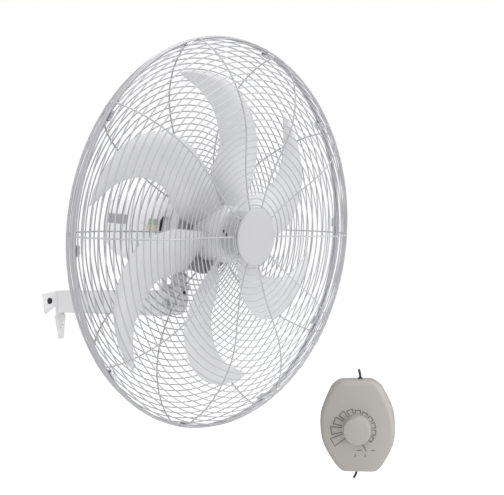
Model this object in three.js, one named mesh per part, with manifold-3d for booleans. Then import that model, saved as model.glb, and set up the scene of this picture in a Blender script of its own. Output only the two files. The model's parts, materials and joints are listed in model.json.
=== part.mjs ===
// Oscillating wall fan with a 650 mm wire guard, a six-blade propeller and a wired speed control.
// Millimetres, +Z up. The wall is the plane y = 0, the fan blows towards -Y, and the origin is the
// middle of the bracket's back face. Inside the head group the fan axis is Y and the guard's rim
// lies in the plane y = 0, so a depth in front of the rim is negative there.
import * as THREE from "three";
import { mergeVertices } from "three/addons/utils/BufferGeometryUtils.js";
import Module from "manifold-3d";

const wasm = await Module();
wasm.setup();

// ---------- driving dimensions ----------
const GAP = 0.3; // running gap between pieces that seat on each other
const DEG = Math.PI / 180;

// wall bracket
const SHEET = 2.5; // bracket steel
const FLANGE_THICK = 3;
const EAR_REACH = 48;
const EAR_HOLE_X = 32.3;
const EAR_HOLE_R = 6.5;
const EAR_HOLE_UP = 2.6; // above the arm's middle line
const LEG_OFFSET = -7; // the lower fixing leg sits a little to the left
const LEG_TOP_HALF = 13;
const LEG_FOOT_HALF = 5.5;
const LEG_DROP = 76;
const LEG_HOLE_R = 1.6;
const LEG_HOLES = [[0, -39], [4, -46], [-1, -53]]; // across from the leg's middle line, and height
const ARM_WIDTH = 28;
const ARM_HEIGHT = 44;
const ARM_REACH = 323; // wall to tilt bolt
const WEB_STOP = 30; // the arm's top web ends this far behind the tilt bolt
const ARM_END_R = ARM_HEIGHT / 2;

// tilt joint
const REST_TILT = 6.8 * DEG; // the head looks down by this much
const BOLT_R = 4;
const BOLT_HEAD_FLATS = 13;
const BOLT_HEAD_LONG = 5.5;
const NUT_LONG = 6.5;
const BOLT_TIP = 3; // thread past the nut

// yoke and oscillation post, measured from the tilt bolt
const LUG_R = 19;
const POST_AHEAD = 13; // post axis in front of the bolt
const PLATE_LOW = 28;
const PLATE_THICK = 6;
const PLATE_R = 20;
const POST_R = 14.5;
const POST_TOP = 55;
const NECK_COLLAR_R = 11; // slim enough for the link to pass
const NECK_COLLAR_LONG = 9;
const SPINDLE_R = 8;
const SPINDLE_FOOT = 17;
const BUSH_WALL = 2.4;
const LINK_PIN_X = -36; // fixed end of the link, beside the post
const LINK_BOSS_R = 5;
const TAB_R = 9;
const LINK_PIN_R = 2;
const LINK_OPEN = 0.5; // the link's fixed eye lies this far above its boss
const PIVOT_SCREW_R = 2.5;
const PIVOT_SCREW_UP = 6; // above the spindle's foot

// head, measured from the middle of the guard's rim
const AXIS_ABOVE_BOLT = 133.6;
const RIM_AHEAD_OF_BOLT = 124;
const MOTOR_R = 65;
const BELL_FRONT = 50;
const BELL_REAR = 112;
const COVER_REAR = 260;
const SHELL_WALL = 3;
const VENT_COUNT = 8; // openings in each row under the front bell
const VENT_STEP = 11.5 * DEG;
const VENT_WIDTH = 7;
const VENT_LONG = 8;
const VENT_ROWS = [64, 76]; // where each row starts behind the rim
const CABLE_LOW = -67; // the lead's lowest run, where it enters the saddle
const COVER_SLOTS = 6;
const BEARING_R = 14;
const BEARING_LONG = 13;
const SHAFT_R = 6;
const SHAFT_FRONT = -10;
const SHAFT_REAR = 200;
const STATOR_FRONT = 96;
const STATOR_REAR = 132;
const STATOR_BORE_R = 28;
const WINDING_R = 45;
const WINDING_LONG = 17;
const REAR_BELL_AT = 152;
const THROUGH_SCREW_X = 52;
const THROUGH_SCREW_R = 2;
const COVER_SCREW_R = 2; // holds the rear cover to the gearbox
const NECK_HALF = 20;

// gearbox, crank and link
const CRANK_AT = 188; // crank axis behind the rim
const WORM_R = 6.3;
const WHEEL_R = 11.5;
const WHEEL_TEETH = 18;
const WHEEL_HALF = 5; // half its width
const TOOTH_DEEP = 1.6;
const WHEEL_GAP = 0.7;
const CRANK_X = WORM_R + WHEEL_GAP + WHEEL_R;
const CRANK_SHAFT_R = 4;
const CRANK_TOP = -67.5; // under the rear cover
const CRANK_THICK = 5;
const CRANK_PIN_R = 3;
const LINK_THICK = 4.5;
const LINK_HALF = 4;
const LINK_EYE_R = 7.5;
const OSCILLATION = 35 * DEG; // each way

// guards
const RIM_R = 325; // outside of the rim wires
const RIM_WIRE_R = 3;
const RING_WIRE_R = 1.3;
const RIB_WIRE_R = 2;
const RIB_COUNT = 10;
const CROWN_R = 195; // where each guard is deepest
const FRONT_DEPTH = 76;
const FRONT_DISH = 57;
const FRONT_START_R = 48;
const FRONT_DISH_POWER = 1.4;
const REAR_DEPTH = 87;
const REAR_DISH = 48.5;
const REAR_START_R = 72;
const REAR_DISH_POWER = 0.5;
const SHOULDER_POWER = 0.65;
const RING_PITCH = 26.4;
const PLATE_BORE_R = 24;
const GUARD_PLATE_THICK = 2.4;
const GUARD_SCREW_AT = 46;
const GUARD_SCREW_R = 2.2;
const RIM_GAP = 0.4; // between the two guards' rims
const FINE_RING_R = 230; // rings beyond this have more sides
const RIM_PIECES = 6; // straight pieces of the rim between two ribs
const BADGE_HOLD_R = 38;
const RETAINER_THICK = 2.1;
const BADGE_R = 47.7;
const BADGE_SCREW_R = 2;
const CLIP_LONG = 16;
const CLIP_SHEET = 1.2;
const CLIP_TURN = 3.6 * DEG; // each clip sits just beside its rib

// propeller
const BLADE_COUNT = 6;
const HUB_R = 48;
const HUB_FRONT = -20;
const HUB_REAR = 38;
const HUB_WALL = 3;
const HUB_BOSS_R = 12;
const GRUB_FROM_REAR = 14; // grub screw ahead of the hub's open end
const GRUB_R = 2.5;
const GRUB_TURN = -30 * DEG; // between two blades
const BLADE_THICK = 2.6;
const BLADE_CAMBER = 0.06;
// radius, angle of the convex edge, angle of the concave edge, depth of each edge behind the rim
const BLADE_SECTIONS = [
  [46, 57, 106, -2, 36],
  [80, 55.5, 104, 2, 34],
  [110, 55.5, 97, 6, 32],
  [140, 58, 90.5, 10, 30],
  [180, 63.5, 92, 14, 29],
  [210, 70.7, 96, 16, 29],
  [240, 80.5, 102.5, 19, 30],
  [260, 90.5, 108, 22, 30],
  [270, 99, 110.5, 25, 30],
  [276, 107, 111.5, 28, 30],
];

// wired speed control
const CONTROL_AT = [343, -482, -258]; // clear of the guard at every tilt and swing
const CONTROL_YAW = -60 * DEG;
const CONTROL_HIGH = 176;
const CONTROL_WIDE = 143;
const CONTROL_DEEP = 41;
// Right half of the case outline from the top down, as parts of its half width and half height.
const CASE_OUTLINE = [
  [0.42, 1],
  [0.66, 0.86],
  [0.78, 0.69],
  [0.88, 0.52],
  [0.965, 0.32],
  [1, 0.09],
  [0.995, -0.12],
  [0.955, -0.33],
  [0.86, -0.53],
  [0.71, -0.73],
  [0.6, -0.84],
  [0.5, -0.92],
  [0.34, -1],
];
const BASE_DEEP = 22;
const CASE_WALL = 2.5;
const KNOB_R = 27;
const KNOB_HIGH = 26;
const KNOB_DROP = 4; // knob axis below the middle of the case
const KNOB_SHAFT_R = 3;
const LEAD_R = 2.4;
const LEAD_OUT = 18;
const LEAD_STRAIGHT = 3; // past the case before a lead starts to lean
const TOP_LEAD_X = 8.5;
const TOP_LEAD_LEAN = -2; // across, at its cut end
const BOTTOM_LEAD_X = -6;
const BOTTOM_LEAD_LEAN = -6.5;
const GLAND_R = 4.6;
const CASE_SCREW_UP = 62; // the two case screws lie this far above and below the middle
const CASE_POST_R = 4;
const CASE_SCREW_R = 1.2;
const CASE_SCREW_HEAD_R = 3;

// ---------- shapes ----------
const SIDES = 24;

// A closed three.js geometry as a solid that can be joined and cut.
function solid(geometry) {
  const bare = new THREE.BufferGeometry();
  const loose = geometry.index ? geometry.toNonIndexed() : geometry;
  bare.setAttribute("position", loose.getAttribute("position").clone());
  const merged = mergeVertices(bare, 1e-3);
  const index = Array.from(merged.index.array);
  const kept = [];
  for (let i = 0; i < index.length; i += 3) {
    const [a, b, c] = index.slice(i, i + 3);
    if (a !== b && b !== c && c !== a) kept.push(a, b, c);
  }
  const asManifold = (triVerts) =>
    new wasm.Manifold(
      new wasm.Mesh({
        numProp: 3,
        vertProperties: merged.getAttribute("position").array,
        triVerts: new Uint32Array(triVerts),
      }),
    );
  const body = asManifold(kept);
  return body.volume() < 0 ? asManifold(kept.reverse()) : body;
}

function geometryOf(body) {
  const { vertProperties, triVerts } = body.getMesh();
  const geometry = new THREE.BufferGeometry();
  geometry.setAttribute("position", new THREE.BufferAttribute(vertProperties, 3));
  geometry.setIndex(new THREE.BufferAttribute(triVerts, 1));
  return geometry;
}

const join = (...shapes) => geometryOf(shapes.map(solid).reduce((a, b) => a.add(b)));
const cut = (base, ...tools) => geometryOf(tools.map(solid).reduce((a, b) => a.subtract(b), solid(base)));

const moved = (geometry, x, y, z) => geometry.clone().translate(x, y, z);
const turnedAboutY = (geometry, angle) => geometry.clone().rotateY(angle);

// The same shape repeated at equal angles round the fan axis.
function roundAxis(geometry, count, start = 0) {
  return Array.from({ length: count }, (_, i) =>
    turnedAboutY(geometry, start + (i * 2 * Math.PI) / count),
  );
}

// A profile of [radius, y] points, closed on itself or on the axis, turned about Y.
function turned(profile, sides = SIDES) {
  let area = 0;
  profile.forEach(([r, y], i) => {
    const [r2, y2] = profile[(i + 1) % profile.length];
    area += r * y2 - r2 * y;
  });
  const ordered = area > 0 ? profile : [...profile].reverse();
  const closed = [...ordered, ordered[0]].map(([r, y]) => new THREE.Vector2(r, y));
  return new THREE.LatheGeometry(closed, sides);
}

const discY = (radius, from, to, sides = SIDES) =>
  turned([[0, from], [radius, from], [radius, to], [0, to]], sides);
const ringY = (inner, outer, from, to, sides = SIDES) =>
  turned([[inner, from], [outer, from], [outer, to], [inner, to]], sides);
const discZ = (radius, from, to, sides = SIDES) => discY(radius, from, to, sides).rotateX(Math.PI / 2);
const ringZ = (inner, outer, from, to, sides = SIDES) =>
  ringY(inner, outer, from, to, sides).rotateX(Math.PI / 2);
const discX = (radius, from, to, sides = SIDES) => discY(radius, from, to, sides).rotateZ(-Math.PI / 2);

// A box given by its lowest and highest corners.
function block(low, high) {
  const size = high.map((value, i) => value - low[i]);
  const centre = high.map((value, i) => (value + low[i]) / 2);
  return new THREE.BoxGeometry(...size).translate(...centre);
}

// An outline of [x, z] points, extruded along Y between two depths.
function plateY(outline, from, to) {
  const shape = outline instanceof THREE.Shape ? outline : polygon(outline);
  return new THREE.ExtrudeGeometry(shape, { depth: to - from, bevelEnabled: false })
    .rotateX(Math.PI / 2)
    .translate(0, to, 0);
}

// An outline of [x, y] points, extruded along Z between two heights.
const plateZ = (outline, from, to) =>
  new THREE.ExtrudeGeometry(outline instanceof THREE.Shape ? outline : polygon(outline), {
    depth: to - from,
    bevelEnabled: false,
    curveSegments: 8,
  }).translate(0, 0, from);

const polygon = (points) => new THREE.Shape(points.map(([x, y]) => new THREE.Vector2(x, y)));

// ---------- finishes ----------
function finish(color, roughness, metalness = 0) {
  return new THREE.MeshStandardMaterial({ color, roughness, metalness });
}
const whitePaint = () => finish(0xd9d9da, 0.42);
const wirePaint = () => finish(0xcfcfd2, 0.38);
const bladePlastic = () => finish(0xd3d3d5, 0.4);
const bracketPaint = () => finish(0xc4c4c6, 0.5);
const zinc = () => finish(0xa9abad, 0.35, 0.9);
const blackSteel = () => finish(0x2a2a2c, 0.5, 0.6);
const corePlates = () => finish(0x6f7276, 0.5, 0.8);
const copper = () => finish(0xa8683a, 0.45, 0.7);
const bronze = () => finish(0x9c7a44, 0.4, 0.8);
const nylon = () => finish(0xe6e2d6, 0.55);
const greyPlastic = () => finish(0xb8b2aa, 0.5);
const board = () => finish(0x6b7d4a, 0.6);
const blackRubber = () => finish(0x17171a, 0.7);

const fan = new THREE.Group();
const yokeGroup = new THREE.Group(); // origin at the tilt bolt, leaning with the head
yokeGroup.position.set(0, -ARM_REACH, 0);
yokeGroup.rotation.x = REST_TILT;
const headGroup = new THREE.Group(); // origin in the middle of the guard's rim
headGroup.position.set(0, -RIM_AHEAD_OF_BOLT, AXIS_ABOVE_BOLT);
yokeGroup.add(headGroup);
const controlGroup = new THREE.Group();
controlGroup.position.set(...CONTROL_AT);
controlGroup.rotation.z = CONTROL_YAW;
fan.add(yokeGroup, controlGroup);

function place(group, name, geometry, material) {
  const bare = geometryOf(solid(geometry));
  bare.computeVertexNormals();
  const mesh = new THREE.Mesh(bare, material);
  mesh.name = name;
  group.add(mesh);
  return mesh;
}

// ---------- wall bracket ----------
function wallFlange() {
  const neckHalf = LEG_TOP_HALF - 3;
  const outline = [
    [-ARM_WIDTH / 2 - 4, ARM_HEIGHT / 2],
    [-EAR_REACH, ARM_HEIGHT / 2 - 5],
    [-EAR_REACH + 4, -ARM_HEIGHT / 2 - 2],
    [LEG_OFFSET - neckHalf, -9],
    [LEG_OFFSET - neckHalf, -ARM_HEIGHT / 2 - 4],
    [LEG_OFFSET - LEG_TOP_HALF, -ARM_HEIGHT / 2 - 8],
    [LEG_OFFSET - LEG_FOOT_HALF, -LEG_DROP],
    [LEG_OFFSET + LEG_FOOT_HALF, -LEG_DROP],
    [LEG_OFFSET + LEG_TOP_HALF, -ARM_HEIGHT / 2 - 8],
    [LEG_OFFSET + neckHalf, -ARM_HEIGHT / 2 - 4],
    [ARM_WIDTH / 2, -9],
    [EAR_REACH - 4, -ARM_HEIGHT / 2 - 2],
    [EAR_REACH, ARM_HEIGHT / 2 - 5],
    [ARM_WIDTH / 2 + 4, ARM_HEIGHT / 2],
  ];
  const plate = plateY(outline, -FLANGE_THICK, 0);
  const earHole = discY(EAR_HOLE_R, -FLANGE_THICK - 1, 1, 20);
  const smallHole = discY(LEG_HOLE_R, -FLANGE_THICK - 1, 1, 8);
  return cut(
    plate,
    moved(earHole, -EAR_HOLE_X, 0, EAR_HOLE_UP),
    moved(earHole, EAR_HOLE_X, 0, EAR_HOLE_UP),
    ...LEG_HOLES.map(([x, z]) => moved(smallHole, LEG_OFFSET + x, 0, z)),
  );
}

// An inverted channel: two cheeks with round ends at the tilt bolt, and a top web that stops short.
function bracketArm() {
  const cheek = new THREE.Shape();
  cheek.moveTo(-FLANGE_THICK - GAP, -ARM_HEIGHT / 2);
  cheek.lineTo(-FLANGE_THICK - GAP, ARM_HEIGHT / 2);
  cheek.lineTo(-ARM_REACH, ARM_HEIGHT / 2);
  cheek.absarc(-ARM_REACH, 0, ARM_END_R, Math.PI / 2, (3 * Math.PI) / 2, false);
  const sheet = new THREE.ExtrudeGeometry(cheek, { depth: SHEET, bevelEnabled: false, curveSegments: 16 });
  sheet.rotateX(Math.PI / 2).rotateZ(Math.PI / 2); // outline plane becomes YZ, thickness along X
  const left = moved(sheet, -ARM_WIDTH / 2, 0, 0);
  const right = moved(sheet, ARM_WIDTH / 2 - SHEET, 0, 0);
  const web = block(
    [-ARM_WIDTH / 2, -ARM_REACH + WEB_STOP, ARM_HEIGHT / 2 - SHEET],
    [ARM_WIDTH / 2, -FLANGE_THICK - GAP, ARM_HEIGHT / 2],
  );
  const bore = moved(discX(BOLT_R + GAP, -ARM_WIDTH, ARM_WIDTH, 20), 0, -ARM_REACH, 0);
  return cut(join(left, right, web), bore);
}

const hexX = (flats, from, to) => discX(flats / 2 / Math.cos(30 * DEG), from, to, 6);

function tiltBolt() {
  const headFace = -ARM_WIDTH / 2 - GAP;
  const tip = ARM_WIDTH / 2 + GAP + NUT_LONG + BOLT_TIP;
  const head = hexX(BOLT_HEAD_FLATS, headFace - BOLT_HEAD_LONG, headFace);
  const collar = discX(BOLT_HEAD_FLATS * 0.7, headFace - 1.5, headFace, 20);
  return join(head, collar, discX(BOLT_R, headFace - 1, tip, 20));
}

function tiltNut() {
  const face = ARM_WIDTH / 2 + GAP;
  return cut(hexX(BOLT_HEAD_FLATS, face, face + NUT_LONG), discX(BOLT_R + GAP, 0, face + 2 * NUT_LONG, 20));
}

place(fan, "wall_flange", wallFlange(), bracketPaint());
place(fan, "bracket_arm", bracketArm(), bracketPaint());
const boltGroup = new THREE.Group();
boltGroup.position.set(0, -ARM_REACH, 0);
fan.add(boltGroup);
place(boltGroup, "tilt_bolt", tiltBolt(), zinc());
place(boltGroup, "tilt_nut", tiltNut(), zinc());

// ---------- yoke ----------
const LUG_HALF = ARM_WIDTH / 2 - SHEET - GAP - 0.1;
const BUSH_R = SPINDLE_R + GAP + BUSH_WALL;
const BUSH_BORE_R = BUSH_R + GAP;
const PLATE_TOP = PLATE_LOW + PLATE_THICK;
const LINK_TOP = CRANK_TOP - CRANK_THICK - 2 * GAP; // in the head's heights
const LINK_LOW = LINK_TOP - LINK_THICK;
const LINK_BOSS_TOP = LINK_LOW + AXIS_ABOVE_BOLT - LINK_OPEN;
const RETAINER_Z = SPINDLE_FOOT + PIVOT_SCREW_UP;

function pivotYoke() {
  const lug = discX(LUG_R, -LUG_HALF, LUG_HALF, 24);
  const web = block([-LUG_HALF, -POST_AHEAD - POST_R, 0], [LUG_HALF, LUG_R - 11, PLATE_TOP]);
  const plate = moved(discZ(PLATE_R, PLATE_LOW, PLATE_TOP), 0, -POST_AHEAD, 0);
  const tab = join(
    block([LINK_PIN_X, -POST_AHEAD - TAB_R, PLATE_LOW], [0, -POST_AHEAD + TAB_R, PLATE_TOP]),
    moved(discZ(TAB_R, PLATE_LOW, PLATE_TOP, 20), LINK_PIN_X, -POST_AHEAD, 0),
  );
  const boss = moved(discZ(LINK_BOSS_R, PLATE_LOW + 1, LINK_BOSS_TOP, 16), LINK_PIN_X, -POST_AHEAD, 0);
  const post = moved(discZ(POST_R, PLATE_LOW, POST_TOP, 24), 0, -POST_AHEAD, 0);
  const bushBore = moved(discZ(BUSH_BORE_R, SPINDLE_FOOT - 1, POST_TOP + 1, 20), 0, -POST_AHEAD, 0);
  const boltBore = discX(BOLT_R + GAP, -ARM_WIDTH, ARM_WIDTH, 20);
  const pinBore = moved(discZ(LINK_PIN_R, PLATE_LOW - 1, LINK_BOSS_TOP + 1, 10), LINK_PIN_X, -POST_AHEAD, 0);
  const screwBore = moved(discY(PIVOT_SCREW_R + GAP, -POST_R - 20, 0, 12), 0, -POST_AHEAD, RETAINER_Z);
  return cut(join(lug, web, plate, tab, boss, post), bushBore, boltBore, pinBore, screwBore);
}

function pivotBush() {
  const sleeve = ringZ(SPINDLE_R + GAP, BUSH_R, SPINDLE_FOOT - 0.5, POST_TOP - GAP, 20);
  const screwHole = discY(PIVOT_SCREW_R + 2 * GAP, -BUSH_R - 2, 0, 12);
  return moved(cut(sleeve, moved(screwHole, 0, 0, RETAINER_Z)), 0, -POST_AHEAD, 0);
}

// A headless screw through the yoke's front into the spindle's groove, so the head can't lift off.
function pivotScrew() {
  return moved(discY(PIVOT_SCREW_R, -POST_R - 3, -SPINDLE_R + 1.5, 12), 0, -POST_AHEAD, RETAINER_Z);
}

place(yokeGroup, "pivot_yoke", pivotYoke(), whitePaint());
place(yokeGroup, "pivot_bush", pivotBush(), bronze());
place(yokeGroup, "pivot_screw", pivotScrew(), blackSteel());

// ---------- motor ----------
const POST_Y = RIM_AHEAD_OF_BOLT - POST_AHEAD; // post axis in the head's frame
const SHELL_R = MOTOR_R - SHELL_WALL;
const motorBody = (clearance, from = 0, to = COVER_REAR) => discY(MOTOR_R + clearance, from, to);

// Saddle under the motor with the spindle that turns in the yoke.
function motorNeck() {
  const bolt = -AXIS_ABOVE_BOLT;
  const groove = SPINDLE_R - 2.2;
  const spindle = turned(
    [
      [0, bolt + SPINDLE_FOOT],
      [SPINDLE_R, bolt + SPINDLE_FOOT],
      [SPINDLE_R, bolt + RETAINER_Z - 3.2],
      [groove, bolt + RETAINER_Z - 3.2],
      [groove, bolt + RETAINER_Z + 3.2],
      [SPINDLE_R, bolt + RETAINER_Z + 3.2],
      [SPINDLE_R, bolt + POST_TOP + 2],
      [0, bolt + POST_TOP + 2],
    ],
    20,
  ).rotateX(Math.PI / 2);
  const collar = discZ(NECK_COLLAR_R, bolt + POST_TOP + GAP, bolt + POST_TOP + NECK_COLLAR_LONG, 24);
  const saddle = block(
    [-NECK_HALF, -NECK_HALF + 3, bolt + POST_TOP + NECK_COLLAR_LONG - 2],
    [NECK_HALF, NECK_HALF - 3, -MOTOR_R + 8],
  );
  const upright = moved(join(spindle, collar, saddle), 0, POST_Y, 0);
  return cut(upright, motorBody(GAP));
}

function frontBell() {
  const boss = BEARING_R + GAP;
  const bell = turned([
    [boss, BELL_FRONT],
    [MOTOR_R - 13, BELL_FRONT],
    [MOTOR_R - 4, BELL_FRONT + 4],
    [MOTOR_R, BELL_FRONT + 13],
    [MOTOR_R, BELL_REAR],
    [SHELL_R, BELL_REAR],
    [SHELL_R, BELL_FRONT + 14],
    [MOTOR_R - 14, BELL_FRONT + 4],
    [boss + 5, BELL_FRONT + 4],
    [boss + 5, BELL_FRONT + 16],
    [boss, BELL_FRONT + 16],
  ]);
  const screwPost = discY(5.5, BELL_FRONT + 2, BELL_FRONT + 18, 12);
  const screwBore = discY(THROUGH_SCREW_R + GAP, BELL_FRONT + 6, BELL_FRONT + 19, 10);
  const vents = VENT_ROWS.flatMap((y) => {
    const vent = block([-VENT_WIDTH / 2, y, SHELL_R - 4], [VENT_WIDTH / 2, y + VENT_LONG, MOTOR_R + 4]);
    return Array.from({ length: VENT_COUNT }, (_, i) =>
      turnedAboutY(vent, Math.PI + (i - (VENT_COUNT - 1) / 2) * VENT_STEP),
    );
  });
  const guardBore = discY(GUARD_SCREW_R + GAP, BELL_FRONT - 1, BELL_FRONT + 6, 10);
  const guardHole = moved(guardBore, 0, 0, GUARD_SCREW_AT);
  return cut(
    join(bell, ...[-1, 1].map((side) => moved(screwPost, side * THROUGH_SCREW_X, 0, 0))),
    ...[-1, 1].map((side) => moved(screwBore, side * THROUGH_SCREW_X, 0, 0)),
    ...vents,
    ...roundAxis(guardHole, 4, 45 * DEG),
  );
}

const screwPair = (shape) => [-1, 1].map((side) => moved(shape, side * THROUGH_SCREW_X, 0, 0));

function statorCore() {
  const core = ringY(STATOR_BORE_R, SHELL_R - GAP, STATOR_FRONT, STATOR_REAR);
  return cut(core, ...screwPair(discY(THROUGH_SCREW_R + GAP, 0, COVER_REAR, 10)));
}

const winding = (from) => ringY(STATOR_BORE_R + 3, WINDING_R, from, from + WINDING_LONG, 24);

function rearBell() {
  const boss = BEARING_R + GAP;
  const disc = turned([
    [boss, REAR_BELL_AT],
    [SHELL_R - GAP, REAR_BELL_AT],
    [SHELL_R - GAP, REAR_BELL_AT + 4],
    [boss + 5, REAR_BELL_AT + 4],
    [boss + 5, REAR_BELL_AT + 16],
    [boss, REAR_BELL_AT + 16],
  ]);
  const sleeve = ringY(4, 6, STATOR_REAR + GAP, REAR_BELL_AT + 1, 12);
  const screwHole = discY(THROUGH_SCREW_R + GAP, 0, COVER_REAR, 10);
  return cut(join(disc, ...screwPair(sleeve)), ...screwPair(screwHole));
}

function throughScrew(side) {
  const back = REAR_BELL_AT + 4 + GAP;
  const shank = discY(THROUGH_SCREW_R, BELL_FRONT + 7, back + 1, 10);
  const shape = join(shank, discY(2 * THROUGH_SCREW_R, back, back + 3, 14));
  return moved(shape, side * THROUGH_SCREW_X, 0, 0);
}

const bearing = (from) => ringY(SHAFT_R + GAP, BEARING_R, from, from + BEARING_LONG, 24);

// Worm and wheel housing behind the motor; the wheel's shaft leaves it downwards.
const CASE_FRONT = REAR_BELL_AT + 16 + GAP;
const CASE_REAR = CRANK_AT + WHEEL_R + 8;
function gearboxCase() {
  const outer = block([-14, CASE_FRONT, -16], [CRANK_X + WHEEL_R + 5, CASE_REAR, 16]);
  const inner = block([-11, CASE_FRONT + 3, -13], [CRANK_X + WHEEL_R + 2, CASE_REAR - 3, 13]);
  const boss = discY(6, CASE_REAR - 1, COVER_REAR - 8, 14);
  const shaftHole = discY(SHAFT_R + 2, CASE_FRONT - 1, CASE_FRONT + 4, 16);
  const crankHole = moved(discZ(CRANK_SHAFT_R + GAP, -20, 0, 14), CRANK_X, CRANK_AT, 0);
  const screwHole = discY(COVER_SCREW_R + GAP, CASE_REAR + 4, COVER_REAR, 10);
  return cut(join(cut(outer, inner), boss), shaftHole, crankHole, screwHole);
}

function rearCover() {
  const front = BELL_REAR + GAP;
  const shell = turned([
    [MOTOR_R, front],
    [MOTOR_R, COVER_REAR - 20],
    [MOTOR_R - 3, COVER_REAR - 10],
    [MOTOR_R - 12, COVER_REAR - 3],
    [MOTOR_R - 28, COVER_REAR - 1],
    [COVER_SCREW_R + GAP, COVER_REAR],
    [COVER_SCREW_R + GAP, COVER_REAR - SHELL_WALL],
    [MOTOR_R - 29, COVER_REAR - SHELL_WALL - 1],
    [MOTOR_R - 14, COVER_REAR - SHELL_WALL - 3],
    [SHELL_R - 3.5, COVER_REAR - SHELL_WALL - 9],
    [SHELL_R, COVER_REAR - 20],
    [SHELL_R, front],
  ]);
  const crankHole = moved(discZ(CRANK_SHAFT_R + 4, -MOTOR_R - 5, -SHELL_R + 12, 16), CRANK_X, CRANK_AT, 0);
  const slot = block([-4, COVER_REAR - 30, 20], [4, COVER_REAR + 5, MOTOR_R - 22]);
  return cut(shell, crankHole, ...roundAxis(slot, COVER_SLOTS, Math.PI / COVER_SLOTS));
}

function coverScrew() {
  const head = discY(5, COVER_REAR + GAP, COVER_REAR + 3, 16);
  return join(head, discY(COVER_SCREW_R, COVER_REAR - 22, COVER_REAR + 1, 10));
}

const capacitor = () => block([-48, REAR_BELL_AT + 4 + GAP, 8], [-24, REAR_BELL_AT + 36, 26]);

// Motor lead: out of the bell's left side, down and back into the saddle.
const CABLE_R = 3;
function motorCable() {
  const path = new THREE.CatmullRomCurve3([
    new THREE.Vector3(-MOTOR_R + 1, POST_Y - 26, 24),
    new THREE.Vector3(-MOTOR_R - 5, POST_Y - 25, 20),
    new THREE.Vector3(-MOTOR_R - 9, POST_Y - 22, 2),
    new THREE.Vector3(-MOTOR_R - 5, POST_Y - 17, -26),
    new THREE.Vector3(-MOTOR_R + 13, POST_Y - 12, -53),
    new THREE.Vector3(-NECK_HALF - 8, POST_Y - 6, CABLE_LOW),
    new THREE.Vector3(-NECK_HALF - GAP, POST_Y - 6, CABLE_LOW),
  ]);
  const section = new THREE.Shape();
  section.absarc(0, 0, CABLE_R, 0, 2 * Math.PI, false);
  const tube = new THREE.ExtrudeGeometry(section, { steps: 22, curveSegments: 4, extrudePath: path });
  return cut(tube, motorBody(GAP));
}

place(headGroup, "motor_neck", motorNeck(), whitePaint());
place(headGroup, "front_bell", frontBell(), whitePaint());
place(headGroup, "stator_core", statorCore(), corePlates());
place(headGroup, "winding_front", winding(STATOR_FRONT - GAP - WINDING_LONG), copper());
place(headGroup, "winding_rear", winding(STATOR_REAR + GAP), copper());
place(headGroup, "rear_bell", rearBell(), whitePaint());
place(headGroup, "front_bearing", bearing(BELL_FRONT + 2), bronze());
place(headGroup, "rear_bearing", bearing(REAR_BELL_AT + 2), bronze());
[-1, 1].forEach((side, i) => place(headGroup, `through_screw_${i + 1}`, throughScrew(side), zinc()));
place(headGroup, "gearbox_case", gearboxCase(), nylon());
place(headGroup, "rear_cover", rearCover(), whitePaint());
place(headGroup, "rear_cover_screw", coverScrew(), zinc());
place(headGroup, "capacitor", capacitor(), nylon());
place(headGroup, "motor_cable", motorCable(), blackRubber());

// ---------- guards ----------
// Depth of a guard's surface at a radius: it falls from the dish to the crown, then rounds to the rim.
function guardDepth(radius, depth, dish, startR, power) {
  if (radius < CROWN_R) {
    const part = Math.max(0, (radius - startR) / (CROWN_R - startR)) ** power;
    return dish + (depth - dish) * Math.sin((part * Math.PI) / 2) ** 2;
  }
  const part = Math.min(1, (radius - CROWN_R) / (RIM_R - CROWN_R));
  return depth * (1 - part * part) ** SHOULDER_POWER;
}
const frontDepth = (r) => guardDepth(r, FRONT_DEPTH, FRONT_DISH, FRONT_START_R, FRONT_DISH_POWER);
const rearDepth = (r) => guardDepth(r, REAR_DEPTH, REAR_DISH, REAR_START_R, REAR_DISH_POWER);

// The rings' radii, from the first to the last beside the rim.
function ringRadii(firstR) {
  const lastR = RIM_R - 3 * RIM_WIRE_R;
  const count = Math.round((lastR - firstR) / RING_PITCH);
  return Array.from({ length: count + 1 }, (_, i) => firstR + ((lastR - firstR) * i) / count);
}

// A guard as a lattice: stations along the radius, joined by bands that are either a whole ring or
// only the ribs. Each station gives a radius, its depth from the rim plane, half a thickness and,
// on the inner side of a ring, how many straight pieces the ring has between two ribs.
function lattice(stations, side) {
  const step = (2 * Math.PI) / RIB_COUNT;
  const corners = [];
  const quad = (a, b, c, d) => corners.push(a, b, c, a, c, d);
  const point = ({ r, depth, half }, angle, face) =>
    new THREE.Vector3(r * Math.cos(angle), side * (depth + face * half), r * Math.sin(angle));
  const lastBand = stations.length - 2;
  for (let band = 0; band <= lastBand; band++) {
    const [inner, outer] = [stations[band], stations[band + 1]];
    const whole = inner.pieces > 0;
    const angles = ({ r }, centre) => {
      const [from, to] = [centre + RIB_WIRE_R / r, centre + step - RIB_WIRE_R / r];
      const pieces = inner.pieces ?? 0;
      const between = Array.from({ length: pieces }, (_, i) => from + ((to - from) * (i + 1)) / pieces);
      return [centre - RIB_WIRE_R / r, from, ...(whole ? between : [])];
    };
    for (let rib = 0; rib < RIB_COUNT; rib++) {
      const [near, far] = [angles(inner, rib * step), angles(outer, rib * step)];
      for (let j = 0; j + 1 < near.length; j++) {
        const at = (face) => [
          point(inner, near[j], face),
          point(outer, far[j], face),
          point(outer, far[j + 1], face),
          point(inner, near[j + 1], face),
        ];
        const [top, low] = [at(1), at(-1)];
        quad(...top);
        quad(low[0], low[3], low[2], low[1]);
        if (j > 0 || band === 0) quad(low[3], low[0], top[0], top[3]);
        if (j > 0 || band === lastBand) quad(low[1], low[2], top[2], top[1]);
        if (!whole) {
          quad(low[0], low[1], top[1], top[0]);
          quad(low[2], low[3], top[3], top[2]);
        }
      }
    }
  }
  return new THREE.BufferGeometry().setFromPoints(corners);
}

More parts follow.
